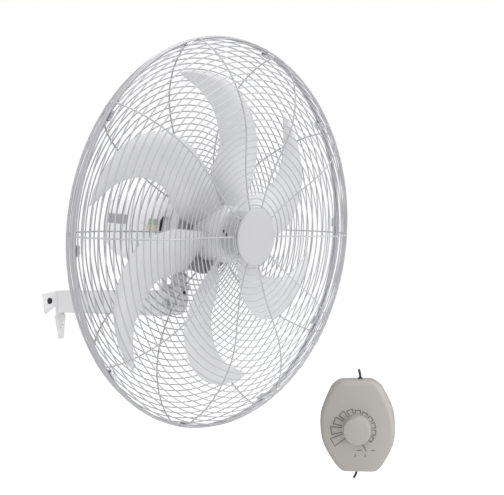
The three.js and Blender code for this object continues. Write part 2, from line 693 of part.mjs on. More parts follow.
// Stations of a guard's rings and its rim.
function ringStations(depthAt, firstRingR) {
  const rings = ringRadii(firstRingR).flatMap((r) => [
    { r: r - RING_WIRE_R, depth: depthAt(r), half: RING_WIRE_R, pieces: r < FINE_RING_R ? 2 : 3 },
    { r: r + RING_WIRE_R, depth: depthAt(r), half: RING_WIRE_R },
  ]);
  const rim = { depth: RIM_WIRE_R + RIM_GAP / 2, half: RIM_WIRE_R };
  return [...rings, { r: RIM_R - 2 * RIM_WIRE_R, pieces: RIM_PIECES, ...rim }, { r: RIM_R, ...rim }];
}

function frontGuard() {
  const ribStart = { r: BADGE_HOLD_R, depth: FRONT_DISH, half: RING_WIRE_R };
  return lattice([ribStart, ...ringStations(frontDepth, FRONT_START_R + 4)], -1);
}

const GUARD_PLATE_BACK = BELL_FRONT - GAP;
const GUARD_PLATE_FRONT = GUARD_PLATE_BACK - GUARD_PLATE_THICK;
function rearGuard() {
  const plate = { depth: GUARD_PLATE_BACK - GUARD_PLATE_THICK / 2, half: GUARD_PLATE_THICK / 2 };
  const mounting = [{ r: PLATE_BORE_R, pieces: 2, ...plate }, { r: REAR_START_R, ...plate }];
  const guard = lattice([...mounting, ...ringStations(rearDepth, REAR_START_R + 12)], 1);
  const hole = moved(discY(GUARD_SCREW_R + GAP, 0, BELL_FRONT, 10), 0, 0, GUARD_SCREW_AT);
  return cut(guard, ...roundAxis(hole, 4, 45 * DEG));
}

function guardScrew(index) {
  const face = GUARD_PLATE_FRONT - GAP;
  const shape = join(discY(5, face - 3, face, 14), discY(GUARD_SCREW_R, face - 1, BELL_FRONT + 5, 10));
  return turnedAboutY(moved(shape, 0, 0, GUARD_SCREW_AT), 45 * DEG + index * 90 * DEG);
}

const RIB_FACE = FRONT_DISH + RING_WIRE_R + GAP; // the badge's seat on the ribs' fronts
const RIB_BACK = FRONT_DISH - RING_WIRE_R - GAP; // the retainer's seat behind them
function badge() {
  const cap = turned([
    [0, -RIB_FACE],
    [BADGE_R - 2, -RIB_FACE],
    [BADGE_R, -RIB_FACE - 1.5],
    [BADGE_R - 0.7, -RIB_FACE - 4],
    [BADGE_R - 8, -RIB_FACE - 6],
    [0, -RIB_FACE - 7.5],
  ]);
  const boss = discY(7, -RIB_FACE - 1, -RIB_BACK - GAP, 16);
  return cut(join(cap, boss), discY(BADGE_SCREW_R + GAP, -RIB_FACE - 3, 0, 10));
}
const badgeRetainer = () =>
  ringY(BADGE_SCREW_R + GAP, BADGE_R - 3, -RIB_BACK, RETAINER_THICK - RIB_BACK, 24);
function badgeScrew() {
  const face = RETAINER_THICK - RIB_BACK + GAP;
  return join(discY(4.5, face, face + 2.6, 14), discY(BADGE_SCREW_R, -(RIB_FACE + 2), face + 1, 10));
}

// A sheet clip that grips both rim wires from inside, beside a rib.
function rimClip(index) {
  const flatness = RIM_R * (1 - Math.cos(Math.PI / (RIB_COUNT * RIM_PIECES)));
  const innerR = RIM_R - 2 * RIM_WIRE_R - flatness - GAP;
  const half = 2 * RIM_WIRE_R + 0.2 + GAP;
  const lip = RIM_R - RIM_WIRE_R;
  const outline = [
    [innerR - CLIP_SHEET, -half - CLIP_SHEET],
    [lip, -half - CLIP_SHEET],
    [lip, -half],
    [innerR, -half],
    [innerR, half],
    [lip, half],
    [lip, half + CLIP_SHEET],
    [innerR - CLIP_SHEET, half + CLIP_SHEET],
  ];
  return plateZ(outline, -CLIP_LONG / 2, CLIP_LONG / 2).rotateY(
    -CLIP_TURN - (index * 2 * Math.PI) / RIB_COUNT,
  );
}

place(headGroup, "rear_guard", rearGuard(), wirePaint());
for (let i = 0; i < 4; i++) place(headGroup, `guard_screw_${i + 1}`, guardScrew(i), blackSteel());
place(headGroup, "front_guard", frontGuard(), wirePaint());
place(headGroup, "badge", badge(), whitePaint());
place(headGroup, "badge_retainer", badgeRetainer(), whitePaint());
place(headGroup, "badge_screw", badgeScrew(), zinc());
for (let i = 0; i < RIB_COUNT; i++) place(headGroup, `rim_clip_${i + 1}`, rimClip(i), zinc());

// ---------- rotor ----------
function rotorShaft() {
  return turned(
    [
      [0, SHAFT_FRONT],
      [SHAFT_R, SHAFT_FRONT],
      [SHAFT_R, SHAFT_REAR - 28],
      [WORM_R, SHAFT_REAR - 28],
      [WORM_R, SHAFT_REAR - 3],
      [SHAFT_R - 2, SHAFT_REAR],
      [0, SHAFT_REAR],
    ],
    20,
  );
}

// Point on a blade: across runs 0..1 from the convex edge to the concave edge.
function bladePoint(section, across, face) {
  const [radius, convex, concave, convexY, concaveY] = section;
  const angle = (convex + (concave - convex) * across) * DEG;
  const chord = radius * (concave - convex) * DEG;
  const bow = 4 * across * (1 - across);
  const thick = BLADE_THICK * (0.45 + 0.55 * Math.sqrt(bow));
  const y = convexY + (concaveY - convexY) * across - bow * BLADE_CAMBER * chord + (face * thick) / 2;
  return new THREE.Vector3(radius * Math.cos(angle), y, radius * Math.sin(angle));
}

// One blade: a grid of points on each face, with the two faces stitched round the edge.
function blade() {
  const across = 4;
  const rows = BLADE_SECTIONS.length;
  const grid = [-1, 1].map((face) =>
    BLADE_SECTIONS.map((section) =>
      Array.from({ length: across + 1 }, (_, j) => bladePoint(section, j / across, face)),
    ),
  );
  const corners = [];
  const quad = (a, b, c, d) => corners.push(a, b, c, a, c, d);
  for (let i = 0; i < rows - 1; i++) {
    for (let j = 0; j < across; j++) {
      quad(grid[0][i][j], grid[0][i + 1][j], grid[0][i + 1][j + 1], grid[0][i][j + 1]);
      quad(grid[1][i][j], grid[1][i][j + 1], grid[1][i + 1][j + 1], grid[1][i + 1][j]);
    }
    quad(grid[1][i][0], grid[1][i + 1][0], grid[0][i + 1][0], grid[0][i][0]);
    quad(grid[0][i][across], grid[0][i + 1][across], grid[1][i + 1][across], grid[1][i][across]);
  }
  for (let j = 0; j < across; j++) {
    quad(grid[1][0][j + 1], grid[1][0][j], grid[0][0][j], grid[0][0][j + 1]);
    quad(grid[0][rows - 1][j + 1], grid[0][rows - 1][j], grid[1][rows - 1][j], grid[1][rows - 1][j + 1]);
  }
  return new THREE.BufferGeometry().setFromPoints(corners);
}

function propeller() {
  const hub = turned([
    [SHAFT_R + GAP, HUB_FRONT],
    [HUB_R - 8, HUB_FRONT],
    [HUB_R - 2, HUB_FRONT + 3],
    [HUB_R, HUB_FRONT + 9],
    [HUB_R, HUB_REAR],
    [HUB_R - HUB_WALL, HUB_REAR],
    [HUB_R - HUB_WALL, HUB_FRONT + 12],
    [HUB_R - 9, HUB_FRONT + HUB_WALL],
    [HUB_BOSS_R, HUB_FRONT + HUB_WALL],
    [HUB_BOSS_R, HUB_REAR - 8],
    [SHAFT_R + GAP, HUB_REAR - 8],
  ]);
  const screwBore = moved(discX(GRUB_R + GAP, 0, HUB_R + 4, 12), 0, HUB_REAR - GRUB_FROM_REAR, 0);
  return cut(join(hub, ...roundAxis(blade(), BLADE_COUNT)), screwBore.rotateY(GRUB_TURN));
}

// The screw that grips the shaft; it lies in the hub's boss, reached through the hub wall.
function grubScrew() {
  const screw = moved(discX(GRUB_R, SHAFT_R + GAP, HUB_BOSS_R + 2, 12), 0, HUB_REAR - GRUB_FROM_REAR, 0);
  return screw.rotateY(GRUB_TURN);
}

place(headGroup, "rotor_shaft", rotorShaft(), zinc());
const rotorCore = ringY(SHAFT_R + GAP, STATOR_BORE_R - 2 * GAP, STATOR_FRONT, STATOR_REAR);
place(headGroup, "rotor_core", rotorCore, corePlates());
place(headGroup, "propeller", propeller(), bladePlastic());
place(headGroup, "grub_screw", grubScrew(), blackSteel());

// ---------- crank and link ----------
// All in the plane seen from above, in the head's frame: post, crank axis and fixed link pin.
const postAt = new THREE.Vector2(0, POST_Y);
const crankAt = new THREE.Vector2(CRANK_X, CRANK_AT);
const pinAt = new THREE.Vector2(LINK_PIN_X, POST_Y);
const reachAt = (swing) => crankAt.clone().rotateAround(postAt, swing).distanceTo(pinAt);
const reaches = [reachAt(-OSCILLATION), reachAt(OSCILLATION)];
const CRANK_ARM = Math.abs(reaches[0] - reaches[1]) / 2;
const LINK_LONG = (reaches[0] + reaches[1]) / 2;
// Where the crank pin lies at rest, so that the link just spans to the fixed pin.
const toPin = pinAt.clone().sub(crankAt);
const spread = Math.acos(
  (CRANK_ARM ** 2 + toPin.lengthSq() - LINK_LONG ** 2) / (2 * CRANK_ARM * toPin.length()),
);
const crankArm = toPin.clone().setLength(CRANK_ARM).rotateAround(new THREE.Vector2(), -spread);
const crankPinAt = crankAt.clone().add(crankArm);

function wormWheel() {
  const outline = Array.from({ length: WHEEL_TEETH * 4 }, (_, i) => {
    const angle = ((i + 0.5) * 2 * Math.PI) / (WHEEL_TEETH * 4);
    const radius = i % 4 < 2 ? WHEEL_R : WHEEL_R - TOOTH_DEEP;
    return [radius * Math.cos(angle), radius * Math.sin(angle)];
  });
  const wheel = plateZ(outline, -WHEEL_HALF, WHEEL_HALF);
  const shaft = discZ(CRANK_SHAFT_R, CRANK_TOP + GAP, WHEEL_HALF + 4, 14);
  return moved(join(wheel, shaft), CRANK_X, CRANK_AT, 0);
}

function crankDisc() {
  const low = CRANK_TOP - CRANK_THICK;
  const disc = discZ(CRANK_ARM + 6, low, CRANK_TOP, 28);
  const pin = discZ(CRANK_PIN_R, LINK_LOW - 2, low + 1, 12);
  const collar = discZ(CRANK_PIN_R + 2, LINK_LOW - 2, LINK_LOW - GAP, 12);
  const knuckle = moved(join(pin, collar), crankArm.x, crankArm.y, 0);
  return moved(join(disc, knuckle), CRANK_X, CRANK_AT, 0);
}

function linkRod() {
  const along = crankPinAt.clone().sub(pinAt);
  const bar = block([0, -LINK_HALF, LINK_LOW], [LINK_LONG, LINK_HALF, LINK_TOP]);
  const eye = discZ(LINK_EYE_R, LINK_LOW, LINK_TOP, 18);
  const crankEye = discZ(CRANK_PIN_R + GAP, LINK_LOW - 1, LINK_TOP + 1, 12);
  const yokeEye = discZ(LINK_PIN_R + GAP, LINK_LOW - 1, LINK_TOP + 1, 12);
  const rod = join(bar, eye, moved(eye, LINK_LONG, 0, 0));
  const straight = cut(rod, moved(crankEye, LINK_LONG, 0, 0), yokeEye);
  return straight.rotateZ(along.angle()).translate(pinAt.x, pinAt.y, 0);
}

place(headGroup, "worm_wheel", wormWheel(), nylon());
place(headGroup, "crank_disc", crankDisc(), zinc());
place(headGroup, "link_rod", linkRod(), zinc());

// ---------- wired speed control ----------
// Outline of the case, drawn in by a wall thickness where asked.
function caseOutline(inset) {
  const wide = CONTROL_WIDE / 2 - inset;
  const high = CONTROL_HIGH / 2 - inset;
  const right = CASE_OUTLINE.map(([across, up]) => [across * wide, up * high]);
  const left = [...right].reverse().map(([x, z]) => [-x, z]);
  return polygon([...right, ...left]);
}

const caseSlab = (inset, from, to) => plateY(caseOutline(inset), from, to);
const LEAD_DEPTH = -BASE_DEEP / 2;
function leadHoles(radius) {
  const hole = discZ(radius, -14, 14, 12);
  const edge = CONTROL_HIGH / 2;
  return [moved(hole, TOP_LEAD_X, LEAD_DEPTH, edge), moved(hole, BOTTOM_LEAD_X, LEAD_DEPTH, -edge)];
}
const screwSites = [-1, 1].map((end) => [0, 0, end * CASE_SCREW_UP]);

function controlBase() {
  const tray = cut(caseSlab(0, -BASE_DEEP, 0), caseSlab(CASE_WALL, -BASE_DEEP - 1, -CASE_WALL));
  const post = discY(CASE_POST_R, -BASE_DEEP + 1, -1, 12);
  const bore = discY(CASE_SCREW_R + 2 * GAP, -BASE_DEEP, 1, 10);
  const recess = discY(CASE_SCREW_HEAD_R + GAP, -CASE_WALL + GAP, 1, 12);
  return cut(
    join(tray, ...screwSites.map((at) => moved(post, ...at))),
    ...screwSites.map((at) => moved(bore, ...at)),
    ...screwSites.map((at) => moved(recess, ...at)),
    ...leadHoles(GLAND_R + GAP),
  );
}

function controlCover() {
  const front = -CONTROL_DEEP;
  const rim = -BASE_DEEP - GAP;
  const body = join(caseSlab(0, front + 5, rim), caseSlab(3, front, front + 6));
  const hollow = caseSlab(CASE_WALL + 3, front + CASE_WALL, rim + 1);
  const post = discY(CASE_POST_R, front + 1, rim, 12);
  const bore = discY(CASE_SCREW_R + GAP, front + 6, rim + 1, 10);
  const knobHole = moved(discY(KNOB_SHAFT_R + 1.5, front - 1, front + 5, 16), 0, 0, -KNOB_DROP);
  return cut(
    join(cut(body, hollow), ...screwSites.map((at) => moved(post, ...at))),
    ...screwSites.map((at) => moved(bore, ...at)),
    knobHole,
  );
}

function controlScrew(end) {
  const shank = discY(CASE_SCREW_R, -CONTROL_DEEP + 10, -1, 10);
  const head = discY(CASE_SCREW_HEAD_R, 2 * GAP - CASE_WALL, -GAP, 12);
  return moved(join(shank, head), 0, 0, end * CASE_SCREW_UP);
}

const boardFront = -BASE_DEEP - 2;
const speedBoard = () => block([-30, boardFront, -KNOB_DROP - 22], [30, boardFront + 1.6, 44]);
function potentiometer() {
  const face = boardFront - GAP;
  const can = discY(11, -CONTROL_DEEP + CASE_WALL + GAP, face, 20);
  const stem = discY(KNOB_SHAFT_R, -CONTROL_DEEP - 10, face - 1, 14);
  return moved(join(can, stem), 0, 0, -KNOB_DROP);
}

// A plain round knob with a flat face.
function controlKnob() {
  const back = -CONTROL_DEEP - GAP;
  const face = back - KNOB_HIGH;
  const body = turned([
    [0, back],
    [KNOB_R, back],
    [KNOB_R, back - 3],
    [KNOB_R - 1, back - 4],
    [KNOB_R - 1.5, face + 1.5],
    [KNOB_R - 3, face],
    [0, face],
  ]);
  const bore = discY(KNOB_SHAFT_R + GAP, back - 12, back + 1, 14);
  return moved(cut(body, bore), 0, 0, -KNOB_DROP);
}

// A cut lead: straight through its gland, then leaning to one side.
function lead(x, end, lean) {
  const edge = CONTROL_HIGH / 2;
  const bend = edge + LEAD_STRAIGHT;
  const straight = discZ(LEAD_R, edge - 10, bend + 0.5, 10);
  const path = new THREE.QuadraticBezierCurve3(
    new THREE.Vector3(0, 0, bend),
    new THREE.Vector3(0, 0, bend + LEAD_OUT / 3),
    new THREE.Vector3(lean, 0, edge + LEAD_OUT),
  );
  const section = new THREE.Shape();
  section.absarc(0, 0, LEAD_R, 0, 2 * Math.PI, false);
  const leaning = new THREE.ExtrudeGeometry(section, { steps: 5, curveSegments: 5, extrudePath: path });
  const stub = join(straight, leaning);
  return moved(end > 0 ? stub : stub.rotateX(Math.PI), x, LEAD_DEPTH, 0);
}
function gland(x, end) {
  const edge = CONTROL_HIGH / 2;
  const bush = ringZ(LEAD_R + GAP, GLAND_R, edge - 8, edge + 2, 12);
  return moved(end > 0 ? bush : bush.rotateX(Math.PI), x, LEAD_DEPTH, 0);
}

place(controlGroup, "control_base", controlBase(), greyPlastic());
place(controlGroup, "control_cover", controlCover(), greyPlastic());
[-1, 1].forEach((end, i) => place(controlGroup, `control_screw_${i + 1}`, controlScrew(end), zinc()));
place(controlGroup, "speed_board", speedBoard(), board());
place(controlGroup, "potentiometer", potentiometer(), zinc());
place(controlGroup, "control_knob", controlKnob(), greyPlastic());
place(controlGroup, "lead_top", lead(TOP_LEAD_X, 1, TOP_LEAD_LEAN), blackRubber());
place(controlGroup, "lead_bottom", lead(BOTTOM_LEAD_X, -1, BOTTOM_LEAD_LEAN), blackRubber());
place(controlGroup, "gland_top", gland(TOP_LEAD_X, 1), blackRubber());
place(controlGroup, "gland_bottom", gland(BOTTOM_LEAD_X, -1), blackRubber());

export default fan;
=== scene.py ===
import json
from math import atan2, cos, pi, radians, sin

import bmesh
import bpy
import numpy as np
from bpy.props import FloatProperty, FloatVectorProperty, IntProperty, PointerProperty
from mathutils import Matrix


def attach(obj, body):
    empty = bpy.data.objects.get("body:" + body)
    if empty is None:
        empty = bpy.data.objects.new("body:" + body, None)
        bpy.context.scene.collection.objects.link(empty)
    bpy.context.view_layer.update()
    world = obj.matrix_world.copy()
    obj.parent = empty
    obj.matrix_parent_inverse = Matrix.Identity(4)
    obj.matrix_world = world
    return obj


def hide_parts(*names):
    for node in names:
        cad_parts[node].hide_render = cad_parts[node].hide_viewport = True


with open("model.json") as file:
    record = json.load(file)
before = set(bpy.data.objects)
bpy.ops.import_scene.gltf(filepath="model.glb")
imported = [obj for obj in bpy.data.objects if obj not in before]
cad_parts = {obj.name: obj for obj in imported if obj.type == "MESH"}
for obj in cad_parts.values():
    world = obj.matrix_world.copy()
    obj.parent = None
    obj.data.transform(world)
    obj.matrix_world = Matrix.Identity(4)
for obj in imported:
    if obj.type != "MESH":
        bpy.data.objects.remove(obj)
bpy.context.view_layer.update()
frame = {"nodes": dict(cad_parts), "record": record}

bl_info = {
    "name": "Oscillating Wall Fan",
    "version": (1, 0, 0),
    "blender": (4, 5, 0),
    "location": "3D View > Sidebar > Wall Fan",
    "description": "Builds the guards, propeller, motor, bracket and speed control of a wall fan",
    "category": "Add Mesh",
}

MM = 0.001
# Points nearer than this, in metres, are one point.
SAME_POINT = 2e-6

# The head leans down by this much and is measured, in millimetres, from the middle of the rim:
# x to the right, y backwards along the motor, z up.
REST_TILT = radians(6.8)
HEAD_FROM_BOLT = np.array([0.0, -124.0, 133.6])
BOLT_AT = np.array([0.0, -323.0, 0.0])
LEAN = np.array(
    [[1, 0, 0], [0, cos(REST_TILT), -sin(REST_TILT)], [0, sin(REST_TILT), cos(REST_TILT)]]
)
# The control is measured from the middle of its back, which is the record's second mount.
CONTROL_MOUNT = next(m for m in frame["record"]["mounts"] if m["name"] == "control_back")
CONTROL_AT = np.array(CONTROL_MOUNT["pos_m"]) * 1000
CONTROL_YAW = atan2(-CONTROL_MOUNT["axis"][0], CONTROL_MOUNT["axis"][1])
CONTROL_TURN = np.array(
    [[cos(CONTROL_YAW), -sin(CONTROL_YAW), 0], [sin(CONTROL_YAW), cos(CONTROL_YAW), 0], [0, 0, 1]]
)


# ---------- places ----------
def from_head(points):
    """Head millimetres to metres in the row frame: lean about the tilt bolt, then move to it."""
    return ((points + HEAD_FROM_BOLT) @ LEAN.T + BOLT_AT) * MM


def from_wall(points):
    """Bracket millimetres to metres in the row frame, which has the same origin and axes."""
    return points * MM


def from_control(points):
    """Control millimetres to metres in the row frame: turn about the vertical, then move."""
    return (points @ CONTROL_TURN.T + CONTROL_AT) * MM


# ---------- surfaces ----------
def grid_faces(rows, columns, wrap_rows=False, wrap_columns=False):
    """Four-sided faces between neighbouring points of a grid, joined end to start where it wraps."""
    i = np.arange(rows if wrap_rows else rows - 1)
    j = np.arange(columns if wrap_columns else columns - 1)
    i, j = np.meshgrid(i, j, indexing="ij")
    up, on = (i + 1) % rows, (j + 1) % columns
    corners = [i * columns + j, up * columns + j, up * columns + on, i * columns + on]
    return np.stack(corners, axis=-1).reshape(-1, 4)


def lathed(profile, sides):
    """A [radius, y] profile turned about the fan axis: (r cos a, y, r sin a) for a round the turn."""
    profile = np.asarray(profile, float)
    a = np.linspace(0, 2 * pi, sides, endpoint=False)
    r, y = profile[:, :1], profile[:, 1:]
    points = np.stack([r * np.cos(a), y + 0 * a, r * np.sin(a)], axis=-1)
    return points.reshape(-1, 3), grid_faces(len(profile), sides, wrap_columns=True)


def hoop(radius, y, wire, turns=120, sides=8):
    """A ring of round wire: a circle of the wire's radius carried round the fan axis."""
    a = np.linspace(0, 2 * pi, turns, endpoint=False)[:, None]
    b = np.linspace(0, 2 * pi, sides, endpoint=False)[None, :]
    r = radius + wire * np.cos(b)
    points = np.stack([r * np.cos(a), y + wire * np.sin(b) + 0 * a, r * np.sin(a)], axis=-1)
    return points.reshape(-1, 3), grid_faces(turns, sides, True, True)


def wire_along(path, across, wire, sides=8):
    """Round wire along a path: circles square to it, spanned by across and the path's own normal."""
    path = np.asarray(path, float)
    tangent = np.gradient(path, axis=0)
    tangent /= np.linalg.norm(tangent, axis=1)[:, None]
    normal = np.cross(tangent, across)
    normal /= np.linalg.norm(normal, axis=1)[:, None]
    side = np.cross(normal, tangent)
    b = np.linspace(0, 2 * pi, sides, endpoint=False)
    ring = normal[:, None] * np.cos(b)[None, :, None] + side[:, None] * np.sin(b)[None, :, None]
    points = path[:, None] + wire * ring
    start, end = np.repeat(path[:1, None], sides, 1), np.repeat(path[-1:, None], sides, 1)
    points = np.concatenate([start, points, end])
    return points.reshape(-1, 3), grid_faces(len(points), sides, wrap_columns=True)


def gathered(parts):
    """Several (points, faces) pairs as one, with each part's faces counted on from the last."""
    counts = np.cumsum([0] + [len(points) for points, _ in parts[:-1]])
    faces = [f + start for (_, f), start in zip(parts, counts)]
    return np.concatenate([p for p, _ in parts]), np.concatenate(faces)


def turned_about_axis(points, angle):
    """Points turned about the fan axis: x and z mix by the angle's sine and cosine."""
    x, y, z = points[:, 0], points[:, 1], points[:, 2]
    return np.stack([x * cos(angle) - z * sin(angle), y, x * sin(angle) + z * cos(angle)], -1)


def arc_even(depth_at, start, end, count):
    """Radii at equal steps of length along a guard's curve, from the summed lengths of short chords."""
    r = np.linspace(start, end, 2000)
    length = np.concatenate([[0], np.cumsum(np.hypot(np.diff(r), np.diff(depth_at(r))))])
    return np.interp(np.linspace(0, length[-1], count), length, r)


def add_piece(name, points, faces, body, finish, replaces=(), smooth_angle=40):
    """Puts a surface into a mesh with merged doubles and outward faces, and ties it to its body."""
    mesh = bpy.data.meshes.new(name)
    mesh.from_pydata(points, [], faces)
    shell = bmesh.new()
    shell.from_mesh(mesh)
    bmesh.ops.remove_doubles(shell, verts=shell.verts, dist=SAME_POINT)
    bmesh.ops.recalc_face_normals(shell, faces=shell.faces)
    shell.to_mesh(mesh)
    shell.free()
    return seat(name, mesh, body, finish, replaces, smooth_angle)


def seat(name, mesh, body, finish, replaces, smooth_angle):
    """Gives a mesh its finish, smooths it below an angle, and makes it ride its body."""
    mesh.polygons.foreach_set("use_smooth", np.ones(len(mesh.polygons), bool))
    mesh.set_sharp_from_angle(angle=radians(smooth_angle))
    mesh.materials.clear()
    mesh.materials.append(finish)
    piece = bpy.data.objects.new(name, mesh)
    bpy.context.scene.collection.objects.link(piece)
    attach(piece, body)
    if replaces:
        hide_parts(*replaces)
    return piece


def edged(node, body, finish, edge=0.5):
    """A CAD node's merged copy with its sharp edges rounded off by a few tenths of a millimetre."""
    mesh = frame["nodes"][node].data.copy()
    shell = bmesh.new()
    shell.from_mesh(mesh)
    bmesh.ops.remove_doubles(shell, verts=shell.verts, dist=SAME_POINT)
    bmesh.ops.dissolve_limit(
        shell, angle_limit=radians(1), verts=shell.verts, edges=shell.edges
    )
    shell.to_mesh(mesh)
    shell.free()
    piece = seat(node + "_finished", mesh, body, finish, [node], 35)
    if edge:
        rounding = piece.modifiers.new("rounded edges", "BEVEL")
        rounding.width = edge * MM
        rounding.segments = 2
        rounding.limit_method = "ANGLE"
        rounding.angle_limit = radians(40)
        rounding.harden_normals = True
    return piece


# ---------- finishes ----------
def finish_of(name, colour, roughness, metallic=0.0, grain=900.0, depth=0.04, variation=0.04):
    """A finish with a fine grain: noise on Object coordinates tints the colour and lifts a bump."""
    material = bpy.data.materials.get(name)
    if material:
        return material
    material = bpy.data.materials.new(name)
    material.use_nodes = True
    nodes, links = material.node_tree.nodes, material.node_tree.links
    surface = nodes["Principled BSDF"]
    surface.inputs["Roughness"].default_value = roughness
    surface.inputs["Metallic"].default_value = metallic
    place = nodes.new("ShaderNodeTexCoord")
    noise = nodes.new("ShaderNodeTexNoise")
    noise.inputs["Scale"].default_value = grain
    noise.inputs["Detail"].default_value = 3.0
    tint = nodes.new("ShaderNodeValToRGB")
    tint.color_ramp.elements[0].position = 0.3
    tint.color_ramp.elements[1].position = 0.7
    tint.color_ramp.elements[0].color = [c * (1 - variation) for c in colour] + [1]
    tint.color_ramp.elements[1].color = [min(1, c * (1 + variation)) for c in colour] + [1]
    bump = nodes.new("ShaderNodeBump")
    bump.inputs["Strength"].default_value = depth
    bump.inputs["Distance"].default_value = 0.0002
    links.new(place.outputs["Object"], noise.inputs["Vector"])
    links.new(noise.outputs["Fac"], tint.inputs["Fac"])
    links.new(tint.outputs["Color"], surface.inputs["Base Color"])
    links.new(noise.outputs["Fac"], bump.inputs["Height"])
    links.new(bump.outputs["Normal"], surface.inputs["Normal"])
    return material


def finishes():
    """Every finish of the fan by name."""
    tones = bpy.context.scene.wall_fan_finish
    return {
        "bracket_paint": finish_of("bracket paint", tones.bracket, 0.5),
        "white_paint": finish_of("motor paint", tones.motor, 0.42),
        "badge_paint": finish_of("badge paint", tones.badge, 0.5, depth=0.02, variation=0.02),
        "wire_paint": finish_of("wire coating", tones.wire, 0.34, depth=0.02),
        "blade_plastic": finish_of("blade plastic", tones.blade, 0.38, depth=0.02, variation=0.02),
        "zinc": finish_of("zinc plate", (0.6, 0.61, 0.62), 0.34, 0.9),
        "black_steel": finish_of("blackened steel", (0.03, 0.03, 0.032), 0.45, 0.5),
        "core_plates": finish_of("core plates", (0.3, 0.31, 0.32), 0.5, 0.8),
        "copper_wire": finish_of("winding enamel", (0.5, 0.2, 0.08), 0.4, 0.7),
        "bronze": finish_of("sintered bronze", (0.42, 0.28, 0.1), 0.45, 0.8),
        "nylon": finish_of("nylon", (0.8, 0.77, 0.7), 0.55),
        "control_plastic": finish_of("control plastic", tones.control, 0.48, grain=1400, depth=0.08),
        "board": finish_of("circuit board", (0.15, 0.22, 0.08), 0.6),
        "black_rubber": finish_of("cable sheath", (0.012, 0.012, 0.013), 0.6),
    }


class FinishTones(bpy.types.PropertyGroup):
    """Colours of the fan's painted and moulded pieces."""

    bracket: FloatVectorProperty(
        name="Bracket", description="Wall flange and arm", subtype="COLOR", default=(0.66, 0.66, 0.67)
    )
    motor: FloatVectorProperty(
        name="Motor", description="Motor shells and yoke", subtype="COLOR", default=(0.76, 0.76, 0.77)
    )
    wire: FloatVectorProperty(
        name="Wire", description="Coated wire of both guards", subtype="COLOR", default=(0.4, 0.4, 0.42)
    )
    blade: FloatVectorProperty(
        name="Blade", description="Moulded propeller", subtype="COLOR", default=(0.58, 0.58, 0.59)
    )
    badge: FloatVectorProperty(
        name="Badge", description="Disc in the middle of the front guard", subtype="COLOR",
        default=(0.43, 0.43, 0.44)
    )
    control: FloatVectorProperty(
        name="Control", description="Speed control's case", subtype="COLOR", default=(0.3, 0.283, 0.262)
    )


class GuardSizes(bpy.types.PropertyGroup):
    """Sizes of the two wire guards."""

    ring_wire: FloatProperty(
        name="Ring wire", description="Radius of the ring wire", default=1.0 * MM, min=0.5 * MM,
        subtype="DISTANCE", unit="LENGTH", precision=5
    )
    rib_wire: FloatProperty(
        name="Rib wire", description="Radius of the rib wire", default=1.25 * MM, min=0.5 * MM,
        subtype="DISTANCE", unit="LENGTH", precision=5
    )
    front_rings: IntProperty(
        name="Front rings", description="Rings between the badge and the rim", default=28, min=4
    )
    rear_rings: IntProperty(
        name="Rear rings", description="Rings between the plate and the rim", default=26, min=4
    )


RIB_COUNT = 10
# The rim hoop of each guard: its outer radius, its wire's radius, how far its middle lies from the
# plane between both guards, and what it keeps clear of the solids' outline.
RIM_R = 325.0
RIM_WIRE = 2.4
RIM_DEPTH = 2.6
RIM_CLEAR = 0.02
# The ribs run into the rim hoop at this radius.
RIB_END = 323.7
# Radius at which both guards are deepest, and the power of their fall from there to the rim.
CROWN_R = 195.0
FALL_POWER = 0.65
# Each guard: depth at its crown, depth and radius of its flat middle, power of the rise from there.
FRONT_SHAPE = (76.0, 57.0, 48.0, 1.4)
REAR_SHAPE = (87.0, 48.5, 72.0, 0.5)
# Each guard: radius of its first ring, and the radius where its ribs start.
FRONT_STARTS = (52, 38)
REAR_STARTS = (84, 60)
# The rear guard's mounting plate, as [radius, depth] round its section.
REAR_PLATE = [[24, 47.3], [72, 47.3], [72, 49.7], [24, 49.7], [24, 47.3]]


def guard_depth(r, crown, middle, middle_r, power):
    """Depth of a guard: a squared sine from its middle to its crown, then a rounded fall."""
    inward = np.clip((r - middle_r) / (CROWN_R - middle_r), 0, 1) ** power
    dished = middle + (crown - middle) * np.sin(inward * pi / 2) ** 2
    outward = np.clip((r - CROWN_R) / (RIM_R - CROWN_R), 0, 1)
    return np.where(r < CROWN_R, dished, crown * (1 - outward**2) ** FALL_POWER)


def wire_guard(shape, side, starts, ring_count, sizes):
    """A guard: hoops at even steps of its curve, ribs laid along that curve, and a heavier rim."""
    def depth_at(r):
        """Depth of this guard at a radius."""
        return guard_depth(r, *shape)

    first_ring, rib_start = starts
    ring_wire, rib_wire = sizes.ring_wire / MM, sizes.rib_wire / MM
    radii = arc_even(depth_at, first_ring, RIB_END, ring_count + 1)[:-1]
    parts = [hoop(r, side * float(depth_at(r)), ring_wire) for r in radii]
    parts.append(hoop(RIM_R - RIM_WIRE, side * RIM_DEPTH, RIM_WIRE - RIM_CLEAR, 180, 12))
    r = arc_even(depth_at, rib_start, RIB_END, 48)
    depth = np.maximum(depth_at(r), RIM_DEPTH)
    for rib in range(RIB_COUNT):
        a = rib * 2 * pi / RIB_COUNT
        path = np.stack([r * cos(a), side * depth, r * sin(a)], axis=-1)
        parts.append(wire_along(path, np.array([-sin(a), 0.0, cos(a)]), rib_wire))
    return gathered(parts)


